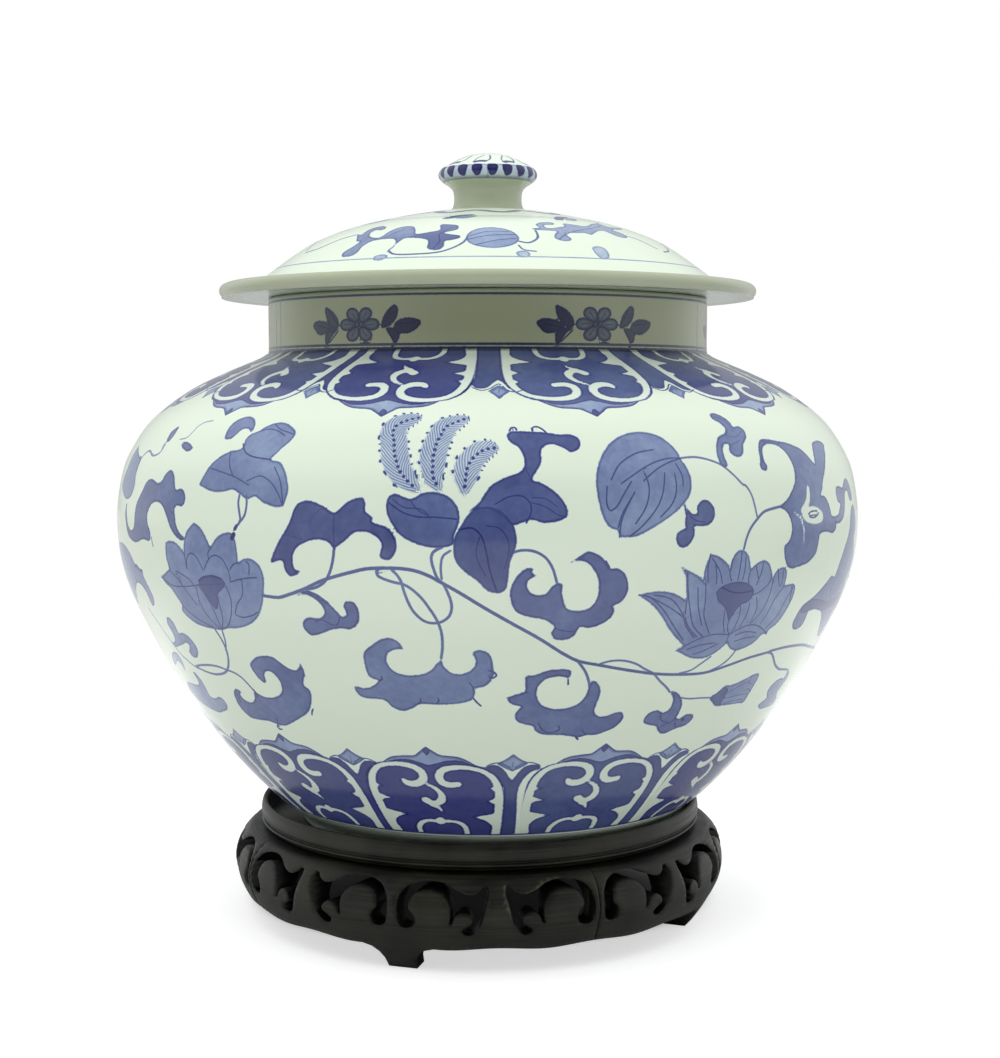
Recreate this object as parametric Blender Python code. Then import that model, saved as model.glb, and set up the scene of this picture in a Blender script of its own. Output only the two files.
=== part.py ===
"""A porcelain storage jar with a domed lid, standing on a carved round wooden stand.

Metres, +Z up. The stand's feet rest on z = 0 and the jar's axis is the Z axis.
Angles round an axis start at -Y, the front, and turn towards +X.
"""

import math

import bmesh
import bpy
from mathutils import Vector
from mathutils.geometry import delaunay_2d_cdt

# Fits and gaps
seat_gap = 0.0003
foot_clearance = 0.0004
collar_clearance = 0.0020
plug_clearance = 0.0007
hole_clearance = 0.0003
cut_overrun = 0.0010

# Jar body
belly_radius = 0.1500
belly_height = 0.1179
shoulder_height = 0.0665
neck_radius = 0.0893
neck_height = 0.0236
neck_lip = 0.0015
neck_root = 0.0030
jar_wall = 0.0055
foot_radius = 0.0780
foot_ring_height = 0.0033
foot_ring_width = 0.0048
foot_ring_taper = 0.0012
jar_floor = 0.0058

# Lid
flange_radius = 0.1089
flange_thickness = 0.0054
dome_radius = 0.0955
dome_rise = 0.0307
dome_wall = 0.0050
knob_radius = 0.0202
knob_height = 0.0232
collar_depth = 0.0114
collar_wall = 0.0045
collar_round = 0.0012

# Stand
foot_height = 0.0102
apron_height = 0.0269
apron_overhang = 0.0108
apron_wall = 0.0095
apron_ledge = 0.0110
joint_gap = 0.0003
edge_wave = 0.0006
recess_depth = 0.0087
rim_width = 0.0026
rim_round = 0.0008
moulding_depth = 0.0028
floor_lip = 0.0024
plug_depth = 0.0046
jar_off_centre = 0.0034

# Carving of the apron
quarters = 4
first_foot_angle = math.radians(-18.6)
slot_width = 0.0032
foot_half_width = 0.0064
foot_flare = 0.0150
slot_cap_turn = math.radians(63.0)

# Keys and pins of the stand
key_width = 0.0050
key_thickness = 0.0030
key_foot_margin = 0.0040
key_top_margin = 0.0028
key_depth_share = 0.75
pin_radius = 0.00125
pin_depth = 0.0040
pin_edge = 0.0024
pin_bevel = 0.00025

# How finely curves are divided
body_segments = 48
lid_segments = 44
board_segments = 48
pin_segments = 8
corner_steps = 2
flange_steps = 6
cap_steps = 3
edge_steps = 12
top_steps = 24
grid_step = 0.0065
clear_share = 0.33
sharp_angle = math.radians(32.0)

# Outlines, as shares of the sizes above
# Belly below its widest level: radius from foot to belly, height from foot to belly
LOWER_WALL_shares = (
    (1.0, 1.0), (0.982, 0.894), (0.931, 0.784), (0.836, 0.657), (0.733, 0.538),
    (0.631, 0.436), (0.522, 0.334), (0.410, 0.241), (0.300, 0.165), (0.206, 0.105),
    (0.133, 0.065), (0.083, 0.042), (0.0, 0.0),
)
# Shoulder: radius from neck to belly, height from belly to the neck's base
SHOULDER_shares = (
    (0.0, 1.055), (0.015, 1.024), (0.054, 1.0), (0.156, 0.960), (0.305, 0.902),
    (0.489, 0.820), (0.659, 0.714), (0.778, 0.617), (0.868, 0.504), (0.950, 0.353),
    (0.992, 0.158),
)
# Dome: radius of its foot, height from the flange's top
DOME_shares = (
    (0.163, 1.0), (0.314, 0.928), (0.471, 0.827), (0.607, 0.713), (0.733, 0.557),
    (0.838, 0.355), (0.921, 0.163), (0.969, 0.052), (1.0, 0.010),
)
# Knob: radius of its widest level, height from its base
KNOB_shares = (
    (0.0, 1.0), (0.30, 0.974), (0.57, 0.90), (0.79, 0.80), (0.935, 0.728), (1.0, 0.64),
    (0.99, 0.57), (0.91, 0.50), (0.787, 0.43), (0.708, 0.358), (0.683, 0.26),
    (0.683, 0.15), (0.708, 0.056),
)
# Board's edge: inwards by a share of the moulding's depth, upwards from its underside
BOARD_EDGE_shares = (
    (0.80, 1.0), (0.36, 0.973), (0.07, 0.874), (0.0, 0.70), (0.07, 0.414),
    (0.36, 0.369), (0.11, 0.324), (0.11, 0.270), (0.36, 0.216), (0.75, 0.144),
    (1.0, 0.0),
)
# Apron's face: radius, wall beyond the plain wall as a share of it, height above its edge
APRON_FACE_shares = (
    (0.922, 0.16, 1.0), (0.953, 0.47, 0.925), (0.979, 0.68, 0.803), (0.995, 0.26, 0.649),
    (1.0, 0.03, 0.487), (0.990, 0.0, 0.308), (0.970, 0.0, 0.129), (0.950, 0.0, 0.0),
)
# Foot's face: radius, height above the surface that it stands on
FOOT_FACE_shares = ((0.928, 0.625), (0.902, 0.27), (0.884, 0.0))
# Foot's side: half width from its narrowest to the end of its flare, height below the apron
FOOT_SIDE_shares = ((0.0, 1.0), (0.06, 0.62), (0.22, 0.34), (0.55, 0.12), (1.0, 0.0))
# Scroll slot of half a unit: away from the stem, down the face, width of the slot
SCROLL_SLOT_shares = (
    (0.772, 0.764, 1.15), (0.822, 0.690, 0.72), (0.853, 0.560, 0.86), (0.853, 0.430, 0.96),
    (0.818, 0.310, 1.0), (0.730, 0.225, 1.0), (0.615, 0.200, 0.98), (0.500, 0.230, 0.86),
    (0.410, 0.305, 0.66), (0.330, 0.385, 0.44), (0.262, 0.420, 0.26),
)
# Stem slot of half a unit, written alike
STEM_SLOT_shares = (
    (0.226, 0.770, 1.10), (0.140, 0.735, 0.72), (0.088, 0.630, 0.62), (0.070, 0.500, 0.62),
    (0.074, 0.380, 0.68), (0.108, 0.285, 0.74), (0.165, 0.228, 0.66), (0.220, 0.205, 0.38),
)
# Points up a quarter's straight ends, as shares of the face's length there
END_ROW_shares = (0.82, 0.62, 0.42, 0.22)

# Heights and radii that follow from the sizes above
apron_top = foot_height + apron_height
board_underside = apron_top + seat_gap
recess_floor = board_underside + floor_lip
rim_top = recess_floor + recess_depth
jar_base = recess_floor + seat_gap
wall_foot = jar_base + foot_ring_height
belly_level = wall_foot + belly_height
neck_base = belly_level + shoulder_height
neck_top = neck_base + neck_height
neck_bore = neck_radius - jar_wall
inside_floor = wall_foot + jar_floor
lid_seat = neck_top + seat_gap
flange_top = lid_seat + flange_thickness
knob_base = flange_top + dome_rise
collar_radius = neck_bore - collar_clearance
collar_bore = collar_radius - collar_wall
stand_x = -jar_off_centre
unit_angle = math.pi / quarters
half_unit = unit_angle / 2


def blend(low, high, share):
    return low + (high - low) * share


def material(name, colour, roughness):
    mat = bpy.data.materials.new(name)
    mat.use_nodes = True
    shader = mat.node_tree.nodes["Principled BSDF"]
    shader.inputs["Base Color"].default_value = (*colour, 1.0)
    shader.inputs["Roughness"].default_value = roughness
    shader.inputs["Metallic"].default_value = 0.0
    return mat


def add_object(name, mesh_data, mat, x=0.0):
    """A mesh object from a bmesh, with its faces pointing out, placed at x."""
    bmesh.ops.recalc_face_normals(mesh_data, faces=mesh_data.faces)
    mesh = bpy.data.meshes.new(name)
    mesh_data.to_mesh(mesh)
    mesh_data.free()
    mesh.shade_smooth()
    mesh.set_sharp_from_angle(angle=sharp_angle)
    ob = bpy.data.objects.new(name, mesh)
    ob.location.x = x
    if mat is not None:
        mesh.materials.append(mat)
    bpy.context.scene.collection.objects.link(ob)
    return ob


def turned(name, outline, segments, mat, x=0.0):
    """A solid of revolution about Z from an outline of (radius, height) that starts and ends on the axis."""
    mesh_data = bmesh.new()
    rings = []
    for radius, height in outline:
        if radius == 0.0:
            rings.append([mesh_data.verts.new((0.0, 0.0, height))])
            continue
        ring = []
        for i in range(segments):
            angle = math.tau * i / segments
            place = (radius * math.sin(angle), -radius * math.cos(angle), height)
            ring.append(mesh_data.verts.new(place))
        rings.append(ring)
    for upper, lower in zip(rings, rings[1:]):
        for i in range(segments):
            j = (i + 1) % segments
            above = [upper[j % len(upper)], upper[i % len(upper)]]
            below = [lower[i % len(lower)], lower[j % len(lower)]]
            mesh_data.faces.new(list(dict.fromkeys(above + below)))
    return add_object(name, mesh_data, mat, x)


def arc(radius, height, size, start, end, steps):
    """Points of an arc round (radius, height), by turns from straight up towards outwards."""
    line = []
    for i in range(steps + 1):
        turn = blend(start, end, i / steps)
        line.append((radius + size * math.sin(turn), height + size * math.cos(turn)))
    return line


def cut(ob, cutter):
    """Takes the cutter's solids out of an object."""
    cutter.hide_render = True
    cutter.display_type = "WIRE"
    modifier = ob.modifiers.new(cutter.name, "BOOLEAN")
    modifier.operation = "DIFFERENCE"
    modifier.solver = "EXACT"
    modifier.object = cutter


def belly_wall():
    """The jar's outer wall from the top of its neck's fillet down to its foot."""
    wall = []
    for out, up in SHOULDER_shares:
        wall.append((blend(neck_radius, belly_radius, out), blend(belly_level, neck_base, up)))
    for out, up in LOWER_WALL_shares:
        wall.append((blend(foot_radius, belly_radius, out), blend(wall_foot, belly_level, up)))
    return wall


def inside_wall(wall):
    """The wall's inner face, from the foot up to the neck, square to the outer one by its thickness."""
    inner = []
    for before, after in zip(wall[::2], wall[2::2]):
        along = (Vector(after) - Vector(before)).normalized()
        middle = (Vector(after) + Vector(before)) / 2
        point = middle + Vector((along.y, -along.x)) * jar_wall
        if point.y > inside_floor + jar_wall / 2 and point.x > neck_bore + cut_overrun:
            inner.append((point.x, point.y))
    return inner[::-1]


def wall_radius_at(height):
    """Outer radius of the jar's lower wall at a height."""
    radius = foot_radius
    for (upper_r, upper_z), (lower_r, lower_z) in zip(belly_wall(), belly_wall()[1:]):
        if lower_z <= height <= upper_z <= belly_level:
            radius = blend(lower_r, upper_r, (height - lower_z) / (upper_z - lower_z))
    return radius


recess_radius = wall_radius_at(rim_top) + jar_off_centre + foot_clearance
board_radius = recess_radius + rim_width
apron_radius = board_radius + apron_overhang
apron_bore = apron_radius * APRON_FACE_shares[0][0] - apron_ledge
plug_radius = apron_bore - plug_clearance
key_radius = apron_radius - apron_wall * key_depth_share
pin_circle = recess_radius - pin_edge


def jar_outline():
    wall = belly_wall()
    ring_outer = foot_radius - foot_ring_taper
    ring_inner = ring_outer - foot_ring_width
    lip_level = neck_top - neck_lip
    quarter = math.pi / 2
    return [
        (0.0, inside_floor),
        (foot_radius - foot_ring_width, inside_floor),
        *inside_wall(wall),
        (neck_bore, neck_base + neck_root),
        *arc(neck_bore + neck_lip, lip_level, neck_lip, -quarter, 0.0, corner_steps),
        *arc(neck_radius - neck_lip, lip_level, neck_lip, 0.0, quarter, corner_steps),
        *wall,
        (ring_outer, jar_base),
        (ring_inner, jar_base),
        (ring_inner - foot_ring_taper, wall_foot),
        (0.0, wall_foot),
    ]


def lid_outline():
    knob = [(knob_radius * out, knob_base + knob_height * up) for out, up in KNOB_shares]
    dome = [(dome_radius * out, flange_top + dome_rise * up) for out, up in DOME_shares]
    under = []
    for before, after in zip(dome[1:], dome[3:]):
        along = (Vector(after) - Vector(before)).normalized()
        middle = (Vector(after) + Vector(before)) / 2
        point = middle + Vector((along.y, -along.x)) * dome_wall
        if point.x < collar_bore - collar_round:
            under.append((point.x, point.y))
    collar_foot = lid_seat - collar_depth
    half = flange_thickness / 2
    return [
        *knob,
        *dome,
        *arc(flange_radius - half, lid_seat + half, half, 0.0, math.pi, flange_steps),
        (collar_radius, lid_seat),
        (collar_radius, collar_foot + collar_round),
        (collar_radius - collar_round, collar_foot),
        (collar_bore + collar_round, collar_foot),
        (collar_bore, collar_foot + collar_round),
        (collar_bore, under[-1][1] - dome_wall / 2),
        *under[::-1],
        (0.0, knob_base - dome_wall),
    ]


def board_outline():
    edge = [
        (board_radius - moulding_depth * inwards, blend(board_underside, rim_top, up))
        for inwards, up in BOARD_EDGE_shares
    ]
    return [
        (0.0, recess_floor),
        (recess_radius - rim_round, recess_floor),
        (recess_radius, recess_floor + rim_round),
        *arc(recess_radius + rim_round, rim_top - rim_round, rim_round, -math.pi / 2, 0.0, corner_steps),
        *edge,
        (plug_radius, board_underside),
        (plug_radius, board_underside - plug_depth),
        (0.0, board_underside - plug_depth),
    ]


def face_rows():
    """Rows of the apron's and foot's face from the top down: outer radius, inner radius, height."""
    rows = []
    for out, extra, up in APRON_FACE_shares:
        outer = apron_radius * out
        inner = outer - apron_wall * (1.0 + extra)
        rows.append((outer, inner, foot_height + apron_height * up))
    rows[0] = (rows[0][0], apron_bore, apron_top)
    for out, up in FOOT_FACE_shares:
        outer = apron_radius * out
        rows.append((outer, outer - apron_wall, foot_height * up))
    return rows


def drops_of(rows):
    """Distance down the outer face to each row."""
    drops = [0.0]
    for (r0, _, z0), (r1, _, z1) in zip(rows, rows[1:]):
        drops.append(drops[-1] + math.hypot(r1 - r0, z1 - z0))
    return drops


FACE_ROWS = face_rows()
FACE_DROPS = drops_of(FACE_ROWS)
edge_drop = FACE_DROPS[len(APRON_FACE_shares) - 1]
full_drop = FACE_DROPS[-1]


def on_face(drop):
    """Outer radius, inner radius and height at a distance down the face."""
    for i in range(len(FACE_ROWS) - 1):
        if drop <= FACE_DROPS[i + 1] or i == len(FACE_ROWS) - 2:
            share = (drop - FACE_DROPS[i]) / (FACE_DROPS[i + 1] - FACE_DROPS[i])
            share = min(max(share, 0.0), 1.0)
            return [blend(a, b, share) for a, b in zip(FACE_ROWS[i], FACE_ROWS[i + 1])]
    return FACE_ROWS[-1]


def edge_at(across):
    """How far down the apron's wavy edge lies, at a distance round the face from the foot's middle."""
    from_stem = across / apron_radius - half_unit
    return edge_drop - edge_wave * math.cos(2 * math.tau * from_stem / unit_angle)


def slot_outline(shares, side):
    """A carved slot's outline round a smooth middle line, round at its wide end and pointed at the other."""
    half_arc = half_unit * apron_radius
    middle = [Vector((a * half_arc * side, d * edge_drop, w * slot_width / 2)) for a, d, w in shares]
    left = []
    right = []
    for i, here in enumerate(middle):
        before = middle[max(i - 1, 0)]
        after = middle[min(i + 1, len(middle) - 1)]
        along = (after - before).to_2d().normalized()
        square = Vector((along.y, -along.x))
        left.append(here.to_2d() + square * here.z)
        right.append(here.to_2d() - square * here.z)
    start = middle[0]
    back = (start - middle[1]).to_2d().normalized()
    square = Vector((-back.y, back.x))
    cap = []
    for i in range(cap_steps + 1):
        turn = blend(-slot_cap_turn, slot_cap_turn, i / cap_steps)
        cap.append(start.to_2d() + (back * math.cos(turn) - square * math.sin(turn)) * start.z)
    tip = middle[-1].to_2d() + (middle[-1] - middle[-2]).to_2d().normalized() * middle[-1].z
    return [*cap, *right[1:-1], tip, *left[1:-1][::-1]]


def quarter_border():
    """The border of a quarter's face, laid flat: distance round from the foot's middle, distance down."""
    half = unit_angle * apron_radius - joint_gap / 2
    right = []
    for out, down in FOOT_SIDE_shares:
        across = blend(foot_half_width, foot_flare, out)
        right.append((across, blend(edge_at(across), full_drop, down)))
    for i in range(1, edge_steps + 1):
        across = blend(foot_flare, half, i / edge_steps)
        right.append((across, edge_at(across)))
    right += [(half, edge_at(half) * share) for share in END_ROW_shares]
    top = [(blend(half, -half, i / top_steps), 0.0) for i in range(top_steps + 1)]
    left = [(-x, y) for x, y in reversed(right)]
    return right + top + left


def inside(point, loop):
    """Whether a flat point lies inside a closed loop."""
    hit = False
    for (x0, y0), (x1, y1) in zip(loop, loop[1:] + loop[:1]):
        if (y0 > point[1]) != (y1 > point[1]):
            if point[0] < x0 + (x1 - x0) * (point[1] - y0) / (y1 - y0):
                hit = not hit
    return hit


def clear_of(point, loop, margin):
    """Whether a flat point keeps a margin to every side of a loop."""
    here = Vector(point)
    for start, end in zip(loop, loop[1:] + loop[:1]):
        start = Vector(start)
        along = Vector(end) - start
        share = min(max((here - start).dot(along) / along.length_squared, 0.0), 1.0)
        if (start + along * share - here).length < margin:
            return False
    return True


def quarter_slots():
    """The slots of the two units that a quarter carries, one on each side of its foot."""
    slots = []
    for stem in (-half_unit, half_unit):
        for side in (-1, 1):
            for shares in (SCROLL_SLOT_shares, STEM_SLOT_shares):
                outline = slot_outline(shares, side)
                slots.append([(p.x + stem * apron_radius, p.y) for p in outline])
    return slots


def carved_sheet():
    """Flat points and triangles of a quarter's face, with its slots left open."""
    border = quarter_border()
    slots = quarter_slots()
    points = []
    edges = []
    for loop in [border, *slots]:
        start = len(points)
        points += loop
        edges += [(start + i, start + (i + 1) % len(loop)) for i in range(len(loop))]
    columns = round(2 * unit_angle * apron_radius / grid_step)
    rows = round(edge_drop / grid_step)
    for i in range(1, columns):
        for j in range(1, rows + 2):
            place = (unit_angle * apron_radius * (2 * i / columns - 1), edge_drop * j / rows)
            clear = all(clear_of(place, loop, grid_step * clear_share) for loop in [border, *slots])
            if clear and inside(place, border) and not any(inside(place, slot) for slot in slots):
                points.append(place)
    flat, _, triangles, *_ = delaunay_2d_cdt([Vector(p) for p in points], edges, [], 0, 0.0)
    kept = []
    for triangle in triangles:
        centre = sum((flat[i] for i in triangle), Vector((0.0, 0.0))) / 3
        if inside(centre, border) and not any(inside(centre, slot) for slot in slots):
            kept.append(triangle)
    return flat, kept


def apron_quarter(name, turn, mat):
    """One carved quarter of the apron with its foot, its middle at an angle round the stand."""
    flat, triangles = carved_sheet()
    mesh_data = bmesh.new()
    outer = []
    inner = []
    for across, drop in flat:
        outer_radius, inner_radius, height = on_face(drop)
        angle = turn + across / apron_radius
        direction = Vector((math.sin(angle), -math.cos(angle), 0.0))
        lift = Vector((0.0, 0.0, height))
        outer.append(mesh_data.verts.new(direction * outer_radius + lift))
        inner.append(mesh_data.verts.new(direction * inner_radius + lift))
    sides = {}
    for triangle in triangles:
        mesh_data.faces.new([outer[i] for i in triangle])
        mesh_data.faces.new([inner[i] for i in reversed(triangle)])
        for side in zip(triangle, triangle[1:] + triangle[:1]):
            side = tuple(sorted(side))
            sides[side] = sides.get(side, 0) + 1
    for (i, j), uses in sides.items():
        if uses == 1:
            mesh_data.faces.new([outer[i], outer[j], inner[j], inner[i]])
    loose = [v for v in mesh_data.verts if not v.link_faces]
    bmesh.ops.delete(mesh_data, geom=loose, context="VERTS")
    return add_object(name, mesh_data, mat, stand_x)


def box_at(mesh_data, angle, radius, width, thickness, low, high):
    """Adds a box that stands at an angle and radius: width round the stand, thickness along the radius."""
    out = Vector((math.sin(angle), -math.cos(angle), 0.0))
    across = Vector((math.cos(angle), math.sin(angle), 0.0))
    corners = []
    for z in (low, high):
        for w, t in ((-1, -1), (1, -1), (1, 1), (-1, 1)):
            place = out * (radius + t * thickness / 2) + across * (w * width / 2)
            corners.append(mesh_data.verts.new((place.x, place.y, z)))
    a, b, c, d, e, f, g, h = corners
    for face in ((a, b, c, d), (e, f, g, h), (a, b, f, e), (b, c, g, f), (c, d, h, g), (d, a, e, h)):
        mesh_data.faces.new(face)


def rod_at(mesh_data, angle, radius, rod_radius, low, high, bevel=0.0):
    """Adds an upright rod at an angle and radius, its top edge bevelled."""
    centre = Vector((radius * math.sin(angle), -radius * math.cos(angle), 0.0))
    levels = [(rod_radius, low), (rod_radius, high - bevel)]
    if bevel:
        levels.append((rod_radius - bevel, high))
    rings = []
    for level_radius, z in levels:
        ring = []
        for i in range(pin_segments):
            turn = angle + math.tau * i / pin_segments
            place = centre + Vector((math.sin(turn), -math.cos(turn), 0.0)) * level_radius
            ring.append(mesh_data.verts.new((place.x, place.y, z)))
        rings.append(ring)
    for lower, upper in zip(rings, rings[1:]):
        for i in range(pin_segments):
            j = (i + 1) % pin_segments
            mesh_data.faces.new([lower[i], lower[j], upper[j], upper[i]])
    mesh_data.faces.new(rings[0])
    mesh_data.faces.new(rings[-1])


def joint_angles():
    """Where two quarters of the apron meet."""
    return [first_foot_angle + unit_angle + 2 * unit_angle * i for i in range(quarters)]


def pin_angles():
    """Above each foot and above each stem."""
    angles = []
    for i in range(quarters):
        middle = first_foot_angle + 2 * unit_angle * i
        angles += [middle - half_unit, middle, middle + half_unit]
    return angles


def build_stand(wood, dark_wood):
    key_low = foot_height + key_foot_margin
    key_high = apron_top - key_top_margin
    pin_low = apron_top - pin_depth
    pin_high = recess_floor - seat_gap
    grooves = bmesh.new()
    for angle in joint_angles():
        width = key_width + hole_clearance * 2
        thickness = key_thickness + hole_clearance * 2
        low = key_low - hole_clearance
        high = key_high + hole_clearance
        box_at(grooves, angle, key_radius, width, thickness, low, high)
    grooves = add_object("key_grooves", grooves, None, stand_x)
    holes = bmesh.new()
    for angle in pin_angles():
        low = pin_low - hole_clearance
        high = recess_floor + cut_overrun
        rod_at(holes, angle, pin_circle, pin_radius + hole_clearance, low, high)
    holes = add_object("pin_holes", holes, None, stand_x)
    board = turned("top_board", board_outline(), board_segments, wood, stand_x)
    cut(board, holes)
    for i in range(quarters):
        quarter = apron_quarter(f"apron_quarter_{i + 1}", first_foot_angle + 2 * unit_angle * i, wood)
        cut(quarter, grooves)
        cut(quarter, holes)
    for i, angle in enumerate(joint_angles()):
        key = bmesh.new()
        box_at(key, angle, key_radius, key_width, key_thickness, key_low, key_high)
        add_object(f"joint_key_{i + 1}", key, dark_wood, stand_x)
    for i, angle in enumerate(pin_angles()):
        pin = bmesh.new()
        rod_at(pin, angle, pin_circle, pin_radius, pin_low, pin_high, pin_bevel)
        add_object(f"board_pin_{i + 1:02d}", pin, dark_wood, stand_x)


def build_jar(porcelain):
    turned("jar_body", jar_outline(), body_segments, porcelain)
    turned("jar_lid", lid_outline(), lid_segments, porcelain)


def main():
    for ob in list(bpy.data.objects):
        bpy.data.objects.remove(ob, do_unlink=True)
    porcelain = material("porcelain", (0.80, 0.84, 0.78), 0.12)
    wood = material("dark_wood", (0.022, 0.021, 0.018), 0.42)
    hidden_wood = material("hidden_wood", (0.11, 0.065, 0.035), 0.6)
    build_stand(wood, hidden_wood)
    build_jar(porcelain)


main()
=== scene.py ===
import math

import bpy
import numpy as np
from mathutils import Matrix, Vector
from mathutils.geometry import delaunay_2d_cdt


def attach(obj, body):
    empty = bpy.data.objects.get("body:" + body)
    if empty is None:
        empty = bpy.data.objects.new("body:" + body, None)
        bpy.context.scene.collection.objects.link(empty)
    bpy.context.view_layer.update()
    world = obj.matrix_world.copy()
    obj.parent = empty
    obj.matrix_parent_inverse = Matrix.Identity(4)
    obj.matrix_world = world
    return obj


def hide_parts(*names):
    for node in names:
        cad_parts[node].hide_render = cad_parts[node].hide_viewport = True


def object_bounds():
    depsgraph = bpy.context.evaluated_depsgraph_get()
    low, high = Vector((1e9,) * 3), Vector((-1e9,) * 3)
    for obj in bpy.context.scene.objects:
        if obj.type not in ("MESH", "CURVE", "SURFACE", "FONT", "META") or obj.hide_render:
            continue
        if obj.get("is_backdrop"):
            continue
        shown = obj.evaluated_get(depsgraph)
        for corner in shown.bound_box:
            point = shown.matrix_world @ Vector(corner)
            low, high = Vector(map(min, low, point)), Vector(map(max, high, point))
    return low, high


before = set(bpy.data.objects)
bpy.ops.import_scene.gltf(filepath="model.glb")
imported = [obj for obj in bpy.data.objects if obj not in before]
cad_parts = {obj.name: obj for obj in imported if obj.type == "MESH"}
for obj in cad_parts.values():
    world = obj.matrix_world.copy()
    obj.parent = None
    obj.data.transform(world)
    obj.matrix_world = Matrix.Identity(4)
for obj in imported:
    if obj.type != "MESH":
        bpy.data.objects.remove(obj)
size_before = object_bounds()

# Camera and picture
picture_width_px = 1000
picture_height_px = 1058
focal_px = 1772.0
axis_px = 488.0
camera_distance = 0.7316
camera_height = 0.2131
camera_pitch = 0.0757
sensor_width = 36.0

# Grid of the painted surfaces, lengths in millimetres
body_columns = 880
body_step = 1.05
inner_step = 6.0
lid_columns = 620
lid_step = 1.0
pole_radius = 0.3
least_radius = 1.0
reach = 3.0
far = 4.0
line_layers = 3
line_spacing = 2.2
plume_reach = 8.0
plume_margin = 1.3
NO_PLUME = (plume_reach, plume_reach, 0.0)

# The least number that a length is divided by
tiny = 1e-9

# Turns in degrees, 0 in front
full_turn = 360.0
back_turn = full_turn / 2
side_turns = (90.0, 270.0)


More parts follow.
